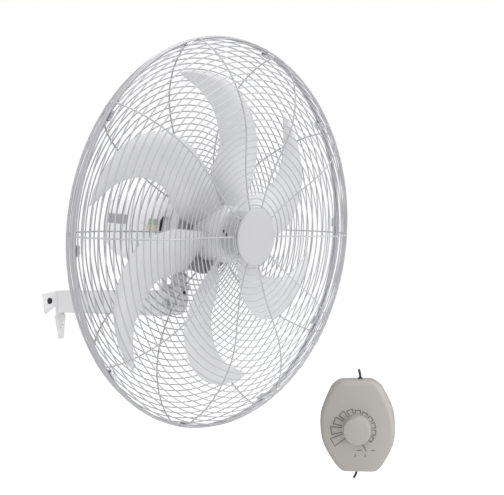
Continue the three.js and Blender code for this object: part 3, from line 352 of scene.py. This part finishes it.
class WALLFAN_OT_guards(bpy.types.Operator):
    """Add both wire guards, with round rings, ribs and rims"""

    bl_idname = "wall_fan.guards"
    bl_label = "Wire guards"

    def execute(self, context):
        sizes, coating = context.scene.wall_fan_guard, finishes()["wire_paint"]
        points, faces = wire_guard(FRONT_SHAPE, -1, FRONT_STARTS, sizes.front_rings, sizes)
        add_piece(
            "front_wire_guard", from_head(points), faces, "head", coating,
            ["front_guard"],
        )
        wires = wire_guard(REAR_SHAPE, 1, REAR_STARTS, sizes.rear_rings, sizes)
        points, faces = gathered([wires, lathed(REAR_PLATE, 72)])
        add_piece(
            "rear_wire_guard", from_head(points), faces, "head", coating,
            ["rear_guard"],
        )
        return {"FINISHED"}


# ---------- propeller ----------
# Radius, angle of the convex edge, angle of the concave edge, depth of each edge behind the rim.
BLADE_SECTIONS = np.array(
    [
        [46, 57, 106, -2, 36], [80, 55.5, 104, 2, 34], [110, 55.5, 97, 6, 32],
        [140, 58, 90.5, 10, 30], [180, 63.5, 92, 14, 29], [210, 70.7, 96, 16, 29],
        [240, 80.5, 102.5, 19, 30], [260, 90.5, 108, 22, 30], [270, 99, 110.5, 25, 30],
        [276, 107, 111.5, 28, 30],
    ]
)
# Camber as a part of the chord, and the blade's thickness at its edges as a part of the whole.
BLADE_CAMBER = 0.06
EDGE_THICKNESS = 0.3
# The hollow hub with its sleeve, as [radius, y] round its section.
HUB_SECTION = [
    [6.3, -20], [38, -20], [41.5, -19.4], [44.5, -17.8], [46.8, -15], [48, -11], [48, 37.4],
    [47.4, 38], [45.6, 38], [45, 37.4], [45, -8], [39, -17], [12, -17], [12, 30], [6.3, 30],
    [6.3, -20],
]


class PropellerSizes(bpy.types.PropertyGroup):
    """Sizes of the propeller."""

    blade_count: IntProperty(name="Blades", description="Number of blades", default=6, min=2)
    thickness: FloatProperty(
        name="Thickness", description="Thickness in the middle of a blade", default=2.6 * MM,
        min=1.0 * MM, subtype="DISTANCE", unit="LENGTH", precision=5
    )


def smoothed_sections(count):
    """The section table at finer radii, by cubic Hermite curves with central slopes."""
    known, values = BLADE_SECTIONS[:, 0], BLADE_SECTIONS[:, 1:]
    slope = np.gradient(values, known, axis=0)
    r = known[0] + (known[-1] - known[0]) * np.sin(np.linspace(0, pi / 2, count))
    k = np.clip(np.searchsorted(known, r, side="right") - 1, 0, len(known) - 2)
    span = (known[k + 1] - known[k])[:, None]
    t = ((r - known[k])[:, None]) / span
    rise = (2 * t**3 - 3 * t**2 + 1) * values[k] + (3 * t**2 - 2 * t**3) * values[k + 1]
    bend = (t**3 - 2 * t**2 + t) * span * slope[k] + (t**3 - t**2) * span * slope[k + 1]
    return r, rise + bend


def blade_surface(thickness):
    """One blade: a cambered sheet between its two edges, thinning towards them, closed round."""
    r, section = smoothed_sections(44)
    across = (1 - np.cos(np.linspace(0, pi, 22))) / 2
    convex, concave, front, back = (section[:, i : i + 1] for i in range(4))
    angle = np.radians(convex + (concave - convex) * across)
    chord = r[:, None] * np.radians(concave - convex)
    bow = 4 * across * (1 - across)
    y = front + (back - front) * across - bow * BLADE_CAMBER * chord
    half = thickness * (EDGE_THICKNESS + (1 - EDGE_THICKNESS) * np.sqrt(bow)) / 2
    sheets = [
        np.stack([r[:, None] * np.cos(angle), y + s * half, r[:, None] * np.sin(angle)], -1)
        for s in (-1, 1)
    ]
    around = np.concatenate([sheets[0], sheets[1][:, ::-1]], axis=1)
    rows, columns = around.shape[:2]
    root = np.repeat(around[:1].mean(axis=1, keepdims=True), columns, 1)
    tip = np.repeat(around[-1:].mean(axis=1, keepdims=True), columns, 1)
    around = np.concatenate([root, around, tip])
    return around.reshape(-1, 3), grid_faces(rows + 2, columns, wrap_columns=True)


class WALLFAN_OT_propeller(bpy.types.Operator):
    """Add the scimitar-bladed propeller with its hub"""

    bl_idname = "wall_fan.propeller"
    bl_label = "Propeller"

    def execute(self, context):
        sizes = context.scene.wall_fan_propeller
        points, faces = blade_surface(sizes.thickness / MM)
        step = 2 * pi / sizes.blade_count
        parts = [(turned_about_axis(points, i * step), faces) for i in range(sizes.blade_count)]
        points, faces = gathered([*parts, lathed(HUB_SECTION, 96)])
        add_piece(
            "moulded_propeller", from_head(points), faces, "rotor", finishes()["blade_plastic"],
            ["propeller"],
        )
        return {"FINISHED"}


# ---------- badge ----------
# The dome's radius, its rise and the y of its edge's plane, then [radius, y] from there to the back.
DOME_R = 46.9
DOME_RISE = 3.5
DOME_AT = -62.6
BADGE_RIM = [[47.7, -61.0], [47.2, -59.4], [45.7, -58.6], [7, -58.6], [7, -55.1], [0, -55.1]]


class WALLFAN_OT_badge(bpy.types.Operator):
    """Add the bare domed badge in the middle of the front guard"""

    bl_idname = "wall_fan.badge"
    bl_label = "Badge"

    def execute(self, context):
        a = np.linspace(0, pi / 2, 14)
        dome = np.stack([DOME_R * np.sin(a), DOME_AT - DOME_RISE * np.cos(a)], -1)
        points, faces = lathed(np.concatenate([dome, BADGE_RIM]), 96)
        add_piece(
            "bare_badge", from_head(points), faces, "head", finishes()["badge_paint"],
            ["badge"],
        )
        return {"FINISHED"}


# ---------- pieces finished from their CAD solids ----------
SLOTS = {entry["node"]: entry["material_slot"] for entry in frame["record"]["subparts"]}
BODY_OF = {n: b for b, nodes in frame["record"]["behaviour"]["bodies"].items() for n in nodes}
# Nodes that a surface of their own replaces.
OWN_SURFACE = {
    "front_guard", "rear_guard", "propeller", "badge", "control_base", "control_cover", "control_knob"
}
# The other nodes, in the groups that come apart together on a bench.
GROUPS = {
    "bracket": ["wall_flange", "bracket_arm", "tilt_bolt", "tilt_nut"],
    "yoke": ["pivot_yoke", "pivot_bush", "pivot_screw"],
    "motor_case": [
        "motor_neck", "front_bell", "rear_bell", "rear_cover", "rear_cover_screw", "through_screw_1",
        "through_screw_2", "motor_cable", "capacitor",
    ],
    "motor_core": [
        "stator_core", "winding_front", "winding_rear", "rotor_core", "rotor_shaft", "front_bearing",
        "rear_bearing", "grub_screw",
    ],
    "swing_drive": ["gearbox_case", "worm_wheel", "crank_disc", "link_rod"],
    "guard_fixings": [f"rim_clip_{i}" for i in range(1, 11)]
    + [f"guard_screw_{i}" for i in range(1, 5)]
    + ["badge_retainer", "badge_screw"],
    "control_inside": [
        "speed_board", "potentiometer", "control_screw_1", "control_screw_2", "lead_top",
        "lead_bottom", "gland_top", "gland_bottom",
    ],
}
if sorted(sum(GROUPS.values(), [])) != sorted(set(frame["nodes"]) - OWN_SURFACE):
    raise ValueError("the groups and the frame don't hold the same nodes")
# Rounding of sharp edges in millimetres, finer on small metal and rubber pieces.
SMALL_EDGE = 0.25
PLAIN_EDGE = 0.6


def finish_group(group):
    """Gives each node of a group its finish and rounds its edges."""
    tones = finishes()
    for node in GROUPS[group]:
        slot = SLOTS[node]
        small = slot in ("zinc", "black_steel", "black_rubber")
        edged(node, BODY_OF[node], tones[slot], SMALL_EDGE if small else PLAIN_EDGE)
    return {"FINISHED"}


class WALLFAN_OT_bracket(bpy.types.Operator):
    """Finish the wall flange, the arm and the tilt bolt with its nut"""

    bl_idname = "wall_fan.bracket"
    bl_label = "Bracket"

    def execute(self, context):
        return finish_group("bracket")


class WALLFAN_OT_yoke(bpy.types.Operator):
    """Finish the tilting yoke with the bush and screw of its post"""

    bl_idname = "wall_fan.yoke"
    bl_label = "Yoke"

    def execute(self, context):
        return finish_group("yoke")


class WALLFAN_OT_motor_case(bpy.types.Operator):
    """Finish the motor's saddle, shells, cover, screws, lead and capacitor"""

    bl_idname = "wall_fan.motor_case"
    bl_label = "Motor case"

    def execute(self, context):
        return finish_group("motor_case")


class WALLFAN_OT_motor_core(bpy.types.Operator):
    """Finish the cores, windings, shaft and bearings inside the motor"""

    bl_idname = "wall_fan.motor_core"
    bl_label = "Motor core"

    def execute(self, context):
        return finish_group("motor_core")


class WALLFAN_OT_swing_drive(bpy.types.Operator):
    """Finish the gearbox, wheel, crank and link that swing the head"""

    bl_idname = "wall_fan.swing_drive"
    bl_label = "Swing drive"

    def execute(self, context):
        return finish_group("swing_drive")


class WALLFAN_OT_guard_fixings(bpy.types.Operator):
    """Finish the rim clips, guard screws and what holds the badge"""

    bl_idname = "wall_fan.guard_fixings"
    bl_label = "Guard fixings"

    def execute(self, context):
        return finish_group("guard_fixings")


class WALLFAN_OT_control_inside(bpy.types.Operator):
    """Finish the speed control's board, potentiometer, screws, leads and glands"""

    bl_idname = "wall_fan.control_inside"
    bl_label = "Control inside"

    def execute(self, context):
        return finish_group("control_inside")


# ---------- bare plates on the motor ----------
# Name, radius that it lies at, span of angle in degrees, span of depth, colour.
MOTOR_PLATES = [
    ("grey_plate", 65.1, (161, 176), (184, 238), (0.34, 0.34, 0.35)),
    ("white_plate", 65.1, (146, 188), (98, 132), (0.8, 0.8, 0.79)),
    ("green_band", 65.4, (164, 173), (100, 128), (0.34, 0.42, 0.32)),
    ("yellow_band", 65.4, (173, 182), (102, 131), (0.6, 0.6, 0.42)),
]


def shell_patch(radius, angles, depths, thick=0.25):
    """A thin plate bent round the motor: a grid of angle and depth, closed at its own thickness."""
    a = np.radians(np.linspace(*angles, 20))[:, None]
    edge = np.array([depths[0], depths[1], depths[1], depths[0]])[None, :]
    r = radius + np.array([0, 0, thick, thick])[None, :]
    points = np.stack([r * np.cos(a), edge + 0 * a, r * np.sin(a)], -1)
    first, last = (np.repeat(points[i].mean(0)[None, None], 4, 1) for i in (0, -1))
    points = np.concatenate([first, points, last])
    return points.reshape(-1, 3), grid_faces(22, 4, wrap_columns=True)


class WALLFAN_OT_plates(bpy.types.Operator):
    """Add the bare plates on the motor's side"""

    bl_idname = "wall_fan.plates"
    bl_label = "Bare plates"

    def execute(self, context):
        for name, radius, angles, depths, colour in MOTOR_PLATES:
            points, faces = shell_patch(radius, angles, depths)
            finish = finish_of(name.replace("_", " "), colour, 0.5)
            add_piece(name, from_head(points), faces, "head", finish)
        return {"FINISHED"}


# ---------- small details ----------
# Black discs that fill the flange's two ear holes, painted shade of deep holes: front faces' middles,
# radius and thickness.
EAR_SHADE_DISCS = [(-32.3, -2.6, 2.6), (32.3, -2.6, 2.6)]
EAR_SHADE_R = 6.3
EAR_SHADE_THICK = 2.2
# Thin black discs on the hub's front: painted shade of two recesses.
HUB_SHADE_DISCS = [(-34, -20.3, 7), (-28, -20.3, 1)]
HUB_SHADE_R = 2.6
HUB_SHADE_THICK = 0.4


def short_disc(centre, radius, thick, sides=28):
    """A short round disc: a circle across x and z, given its thickness along y, closed."""
    a = np.linspace(0, 2 * pi, sides, endpoint=False)
    rows = [(0, 0), (radius, 0), (radius, thick), (0, thick)]
    points = np.stack(
        [np.stack([r * np.cos(a), np.full(sides, y), r * np.sin(a)], -1) for r, y in rows]
    ) + np.asarray(centre, float)
    return points.reshape(-1, 3), grid_faces(len(rows), sides, wrap_columns=True)


class WALLFAN_OT_details(bpy.types.Operator):
    """Add the black discs of painted shade in the flange's two ear holes and on the hub's two recesses
    """

    bl_idname = "wall_fan.details"
    bl_label = "Painted shade discs"

    def execute(self, context):
        tones = finishes()
        # Black discs in the ear holes stand in for the holes' shade: painted shade.
        points, faces = gathered([short_disc(at, EAR_SHADE_R, EAR_SHADE_THICK) for at in EAR_SHADE_DISCS])
        add_piece(
            "ear_hole_shade", from_wall(points), faces, "bracket", tones["black_rubber"]
        )
        # Thin black discs on the hub: painted shade of its two recesses.
        points, faces = gathered(
            [short_disc(at, HUB_SHADE_R, HUB_SHADE_THICK, 16) for at in HUB_SHADE_DISCS]
        )
        add_piece(
            "hub_recess_shade", from_head(points), faces, "rotor", tones["black_steel"]
        )
        return {"FINISHED"}


# ---------- speed control ----------
CASE_HALF = np.array([71.5, 88.0])
CASE_DEEP = 41.0
BASE_DEEP = 22.0
WALL = 2.5
SEAM = 0.4
SEAM_ROUND = 0.6
BACK_ROUND = 2.0
FRONT_ROUND = np.array([11.0, 9.0])
KNOB_DROP = 4.0
KNOB_HOLE_R = 4.5
# Right half of the case outline from the top down, as parts of its half width and half height.
CASE_OUTLINE = np.array(
    [
        [0.27, 1], [0.47, 0.975], [0.66, 0.86], [0.78, 0.69], [0.88, 0.52], [0.965, 0.32],
        [1, 0.09], [0.995, -0.12], [0.955, -0.33], [0.86, -0.53], [0.72, -0.73], [0.63, -0.84],
        [0.52, -0.94], [0.34, -1],
    ]
)
CASE_POINTS = 160
# The knob round its section as [radius, y], with y counted from the foot and from the face.
KNOB_FOOT = -CASE_DEEP - 0.3
KNOB_FACE = -CASE_DEEP - 26.3
KNOB_SECTION = [
    [3.3, KNOB_FOOT], [26.4, KNOB_FOOT], [27, KNOB_FOOT - 0.6], [27, KNOB_FOOT - 3],
    [26.2, KNOB_FOOT - 4], [25.5, KNOB_FACE + 2.4], [25.1, KNOB_FACE + 1.1],
    [24.2, KNOB_FACE + 0.3], [22.8, KNOB_FACE], [0, KNOB_FACE], [0, KNOB_FOOT - 12],
    [3.3, KNOB_FOOT - 12], [3.3, KNOB_FOOT],
]


def case_curve():
    """The case outline as one smooth closed curve: Catmull-Rom arcs through its corner points."""
    corners = np.concatenate([CASE_OUTLINE, CASE_OUTLINE[::-1] * [-1, 1]])
    u = np.linspace(0, len(corners), CASE_POINTS, endpoint=False)
    k, t = u.astype(int), (u % 1)[:, None]
    before, here, after, beyond = (corners[(k + step) % len(corners)] for step in (-1, 0, 1, 2))
    cubic = 3 * (here - after) + beyond - before
    square = 2 * before - 5 * here + 4 * after - beyond
    curve = here + 0.5 * t * (after - before + t * (square + t * cubic))
    return np.clip(curve, -0.9995, 0.9995)


def case_rows(rows):
    """Closed loops of the case at [inset, y] rows: each is the outline drawn in by the inset."""
    curve = case_curve()
    return [np.insert(curve * (CASE_HALF - inset), 1, y, axis=1) for inset, y in rows]


def knob_opening(y):
    """A round loop on the knob's axis with its points in step with the case outline's points."""
    curve = case_curve() * CASE_HALF - [0, -KNOB_DROP]
    across = curve / np.linalg.norm(curve, axis=1)[:, None] * KNOB_HOLE_R
    return np.insert(across + [0, -KNOB_DROP], 1, y, axis=1)


def lofted(loops, wrap=True):
    """A skin over closed loops of equal count, joined from the last loop back to the first."""
    grid = np.stack(loops)
    return grid.reshape(-1, 3), grid_faces(len(loops), grid.shape[1], wrap, True)


def rounded_rows(inset, start, end, count=7):
    """[inset, y] rows of a quarter ellipse from a wall at start to a face at end."""
    a = np.linspace(0, pi / 2, count)
    return np.stack([inset * (1 - np.cos(a)), start + (end - start) * np.sin(a)], -1)


class WALLFAN_OT_control(bpy.types.Operator):
    """Add the speed control's rounded case and its knob"""

    bl_idname = "wall_fan.control"
    bl_label = "Speed control"

    def execute(self, context):
        finish = finishes()["control_plastic"]
        middle = np.zeros((CASE_POINTS, 3))
        back = case_rows(rounded_rows(BACK_ROUND, -BACK_ROUND, 0.0)[::-1])
        rim = case_rows(
            [(0, SEAM_ROUND - BASE_DEEP), (SEAM_ROUND, -BASE_DEEP), (WALL, -BASE_DEEP), (WALL, -WALL)]
        )
        points, faces = lofted([middle, *back, *rim, middle + [0, -WALL, 0]], wrap=False)
        add_piece(
            "control_back_shell", from_control(points), faces, "bracket", finish,
            ["control_base"],
        )
        seam, (inset, rise) = -BASE_DEEP - SEAM, FRONT_ROUND
        wall = case_rows([(WALL, seam), (SEAM_ROUND, seam), (0, seam - SEAM_ROUND)])
        front = case_rows(rounded_rows(inset, rise - CASE_DEEP, -CASE_DEEP))
        inner = case_rows([(inset + 2, WALL - CASE_DEEP), (WALL + 1, rise - CASE_DEEP)])
        holes = [knob_opening(-CASE_DEEP), knob_opening(WALL - CASE_DEEP)]
        points, faces = lofted([*wall, *front, *holes, *inner])
        add_piece(
            "control_front_shell", from_control(points), faces, "bracket", finish,
            ["control_cover"], 50,
        )
        points, faces = lathed(KNOB_SECTION, 72)
        add_piece(
            "speed_knob", from_control(points + [0, 0, -KNOB_DROP]), faces, "knob", finish,
            ["control_knob"],
        )
        return {"FINISHED"}


class DialSizes(bpy.types.PropertyGroup):
    """Sizes of the marks round the speed knob."""

    inner: FloatProperty(
        name="Inner radius", description="Inner edge of the marks", default=29.5 * MM,
        subtype="DISTANCE", unit="LENGTH", precision=4
    )
    outer: FloatProperty(
        name="Outer radius", description="Outer edge of the smallest marks", default=35.5 * MM,
        subtype="DISTANCE", unit="LENGTH", precision=4
    )
    widest: FloatProperty(
        name="Widest mark", description="Extra reach of the largest mark", default=20.0 * MM,
        subtype="DISTANCE", unit="LENGTH", precision=4
    )
    count: IntProperty(name="Marks", description="Number of steps on the scale", default=11, min=3)
    sweep: FloatProperty(
        name="Sweep", description="Angle that the scale covers", default=radians(270),
        subtype="ANGLE", unit="ROTATION"
    )


KNOB_MIDDLE = np.array([0.0, -KNOB_DROP])
# Angle where the scale starts, the part of a step that a mark fills, and the power of its growth.
SCALE_START = radians(217)
MARK_FILL = 0.7
MARK_GROWTH = 1.3
# The pointer's two ends as [angle in degrees, radius], and the loose strokes below it as
# [x, z of the middle, length across, length up], measured from the knob's middle.
POINTER = [(-74, 31), (-70, 45)]
LOOSE_STROKES = [(2, -41, 9, 0), (28, -41, 8, 0), (-6, -51, 0, 6), (13, -51, 0, 6)]


def dial_stroke(start, end, width=1.5, raised=0.3):
    """A raised stroke on the case's front: a straight bar between two points of its face."""
    start, end = np.asarray(start, float), np.asarray(end, float)
    along = (end - start) / np.linalg.norm(end - start)
    square = np.array([-along[1], along[0]]) * width / 2
    corners = np.array([start - square, start + square, end + square, end - square])
    low = np.insert(corners, 1, -CASE_DEEP + 0.3, axis=1)
    high = np.insert(corners, 1, -CASE_DEEP - raised, axis=1)
    ends = [np.repeat(ring.mean(0)[None], 4, 0) for ring in (low, high)]
    points = np.concatenate([ends[0], low, high, ends[1]])
    return points, grid_faces(4, 4, wrap_columns=True)


def dial_spot(angle, radius):
    """A point of the case's front at an angle and a distance from the knob's axis."""
    return KNOB_MIDDLE + radius * np.array([cos(angle), sin(angle)])


class WALLFAN_OT_dial(bpy.types.Operator):
    """Add the plain stepped scale round the speed knob"""

    bl_idname = "wall_fan.dial"
    bl_label = "Speed scale"

    def execute(self, context):
        sizes = context.scene.wall_fan_dial
        inner, step = sizes.inner / MM, sizes.sweep / sizes.count
        parts = []
        for i in range(sizes.count):
            start = SCALE_START - step * i
            end = start - step * MARK_FILL
            growth = max(0, 1 - 2 * i / sizes.count) ** MARK_GROWTH
            reach = (sizes.outer + sizes.widest * growth) / MM
            outline = [(start, inner), (start, reach), (end, reach), (end, inner)]
            corners = [dial_spot(*corner) for corner in outline]
            parts += [dial_stroke(a, b) for a, b in zip(corners, corners[1:])]
        parts.append(dial_stroke(*(dial_spot(radians(angle), radius) for angle, radius in POINTER)))
        for x, z, across, up in LOOSE_STROKES:
            at, half = KNOB_MIDDLE + [x, z], np.array([across, up]) / 2
            parts.append(dial_stroke(at - half, at + half))
        points, faces = gathered(parts)
        finish = finish_of("dial marks", (0.09, 0.08, 0.07), 0.6)
        add_piece("speed_scale", from_control(points), faces, "bracket", finish)
        return {"FINISHED"}


# ---------- stage ----------
# The floor is square: half its side, and its height in metres.
FLOOR_REACH = 14.0
FLOOR_AT = -0.75
FLOOR_COLOUR = (0.94, 0.94, 0.94)
# Light that only the camera sees on the floor, and the world's strength for every other ray.
FLOOR_GLOW = 0.42
WORLD_LEVEL = 0.62
# Name, place, point that it faces, side of its square in metres, power in watts.
FAN_MIDDLE = (0.0, -0.45, 0.05)
LAMPS = [
    ("key lamp", (1.5, -2.3, 1.3), FAN_MIDDLE, 1.3, 29),
    ("fill lamp", (-2.1, -1.2, 0.9), FAN_MIDDLE, 1.8, 24),
    ("top lamp", (0.2, -0.95, 2.3), FAN_MIDDLE, 1.2, 32),
    ("dial lamp", (0.16, -1.05, -0.24), (0.3, -0.51, -0.26), 0.1, 1.2),
]
# The camera's own axes and its place in metres, then its sensor and lens in millimetres.
CAMERA_RIGHT = (0.6613, -0.7492, -0.0388)
CAMERA_UP = (0.0106, -0.0423, 0.9990)
CAMERA_BACK = (-0.7501, -0.6611, -0.0200)
CAMERA_AT = (-1.0161, -1.3575, 0.0909)
SENSOR_WIDE = 36.0
LENS = 57.58
SHIFT = (0.0472, -0.0264)


def stage_finish(name, colour, glow):
    """A pale surface that keeps its shadows and adds a little plain light for the camera only."""
    material = bpy.data.materials.new(name)
    material.use_nodes = True
    nodes, links = material.node_tree.nodes, material.node_tree.links
    surface = nodes["Principled BSDF"]
    surface.inputs["Base Color"].default_value = (*colour, 1)
    surface.inputs["Roughness"].default_value = 0.9
    surface.inputs["Emission Color"].default_value = (1, 1, 1, 1)
    path = nodes.new("ShaderNodeLightPath")
    amount = nodes.new("ShaderNodeMath")
    amount.operation = "MULTIPLY"
    amount.inputs[1].default_value = glow
    links.new(path.outputs["Is Camera Ray"], amount.inputs[0])
    links.new(amount.outputs[0], surface.inputs["Emission Strength"])
    return material


def pale_floor():
    """A flat square floor far below the fan."""
    mesh = bpy.data.meshes.new("floor")
    turns = [(-1, -1), (1, -1), (1, 1), (-1, 1)]
    corners = [(FLOOR_REACH * x, FLOOR_REACH * y, FLOOR_AT) for x, y in turns]
    mesh.from_pydata(corners, [], [(0, 1, 2, 3)])
    mesh.materials.append(stage_finish("pale floor", FLOOR_COLOUR, FLOOR_GLOW))
    floor = bpy.data.objects.new("floor", mesh)
    bpy.context.scene.collection.objects.link(floor)
    return floor


def plain_world():
    """A white world, at full strength for the camera and weaker for the light that it gives."""
    world = bpy.data.worlds.new("plain white")
    bpy.context.scene.world = world
    world.use_nodes = True
    nodes, links = world.node_tree.nodes, world.node_tree.links
    background = nodes["Background"]
    background.inputs["Color"].default_value = (1, 1, 1, 1)
    path = nodes.new("ShaderNodeLightPath")
    level = nodes.new("ShaderNodeMapRange")
    level.inputs["To Min"].default_value = WORLD_LEVEL
    level.inputs["To Max"].default_value = 1.0
    links.new(path.outputs["Is Camera Ray"], level.inputs["Value"])
    links.new(level.outputs["Result"], background.inputs["Strength"])


def studio_lamp(name, place, aim, size, power):
    """A square soft lamp at a place, turned so that it faces a point."""
    data = bpy.data.lights.new(name, "AREA")
    data.size, data.energy = size, power
    lamp = bpy.data.objects.new(name, data)
    away = Matrix.Translation(place).translation - Matrix.Translation(aim).translation
    lamp.matrix_world = Matrix.Translation(place) @ away.to_track_quat("Z", "Y").to_matrix().to_4x4()
    bpy.context.scene.collection.objects.link(lamp)
    return lamp


def studio_camera():
    """The camera, with its axes as the columns of its matrix and its place as the last column."""
    data = bpy.data.cameras.new("camera")
    data.sensor_width, data.lens = SENSOR_WIDE, LENS
    data.shift_x, data.shift_y = SHIFT
    camera = bpy.data.objects.new("camera", data)
    rows = list(zip(CAMERA_RIGHT, CAMERA_UP, CAMERA_BACK, CAMERA_AT))
    camera.matrix_world = Matrix([*rows, (0, 0, 0, 1)])
    bpy.context.scene.collection.objects.link(camera)
    bpy.context.scene.camera = camera
    return camera


class WALLFAN_OT_stage(bpy.types.Operator):
    """Add the pale floor, the soft lamps, the world and the camera"""

    bl_idname = "wall_fan.stage"
    bl_label = "Stage"

    def execute(self, context):
        context.scene.view_settings.view_transform = "Standard"
        floor = pale_floor()
        plain_world()
        lamps = [studio_lamp(*lamp) for lamp in LAMPS]
        studio_camera()
        return {"FINISHED"}


# ---------- add-on ----------
STEPS = [
    "guards", "propeller", "badge", "bracket", "yoke", "motor_case", "motor_core", "swing_drive",
    "guard_fixings", "control_inside", "plates", "details", "control", "dial", "stage",
]
SETTINGS = {
    "wall_fan_guard": GuardSizes,
    "wall_fan_propeller": PropellerSizes,
    "wall_fan_dial": DialSizes,
    "wall_fan_finish": FinishTones,
}


class WALLFAN_PT_panel(bpy.types.Panel):
    """The fan's steps and sizes in the 3D view's sidebar"""

    bl_idname = "WALLFAN_PT_panel"
    bl_label = "Wall Fan"
    bl_space_type = "VIEW_3D"
    bl_region_type = "UI"
    bl_category = "Wall Fan"

    def draw(self, context):
        for step in STEPS:
            self.layout.operator("wall_fan." + step)
        for group in SETTINGS:
            settings = getattr(context.scene, group)
            for key in settings.bl_rna.properties.keys():
                if key not in ("rna_type", "name"):
                    self.layout.prop(settings, key)


CLASSES = [
    *SETTINGS.values(), WALLFAN_OT_guards, WALLFAN_OT_propeller, WALLFAN_OT_badge,
    WALLFAN_OT_bracket, WALLFAN_OT_yoke, WALLFAN_OT_motor_case, WALLFAN_OT_motor_core,
    WALLFAN_OT_swing_drive, WALLFAN_OT_guard_fixings, WALLFAN_OT_control_inside,
    WALLFAN_OT_plates, WALLFAN_OT_details, WALLFAN_OT_control, WALLFAN_OT_dial,
    WALLFAN_OT_stage, WALLFAN_PT_panel,
]


def register():
    """Make the steps, sizes and panel known to Blender."""
    for item in CLASSES:
        bpy.utils.register_class(item)
    for group, settings in SETTINGS.items():
        setattr(bpy.types.Scene, group, PointerProperty(type=settings))


def unregister():
    """Take the steps, sizes and panel away again."""
    for group in SETTINGS:
        delattr(bpy.types.Scene, group)
    for item in reversed(CLASSES):
        bpy.utils.unregister_class(item)


def main():
    """Build the whole fan and its stage."""
    register()
    bpy.ops.wall_fan.guards()
    bpy.ops.wall_fan.propeller()
    bpy.ops.wall_fan.badge()
    bpy.ops.wall_fan.bracket()
    bpy.ops.wall_fan.yoke()
    bpy.ops.wall_fan.motor_case()
    bpy.ops.wall_fan.motor_core()
    bpy.ops.wall_fan.swing_drive()
    bpy.ops.wall_fan.guard_fixings()
    bpy.ops.wall_fan.control_inside()
    bpy.ops.wall_fan.plates()
    bpy.ops.wall_fan.details()
    bpy.ops.wall_fan.control()
    bpy.ops.wall_fan.dial()
    bpy.ops.wall_fan.stage()


if __name__ == "__main__":
    main()
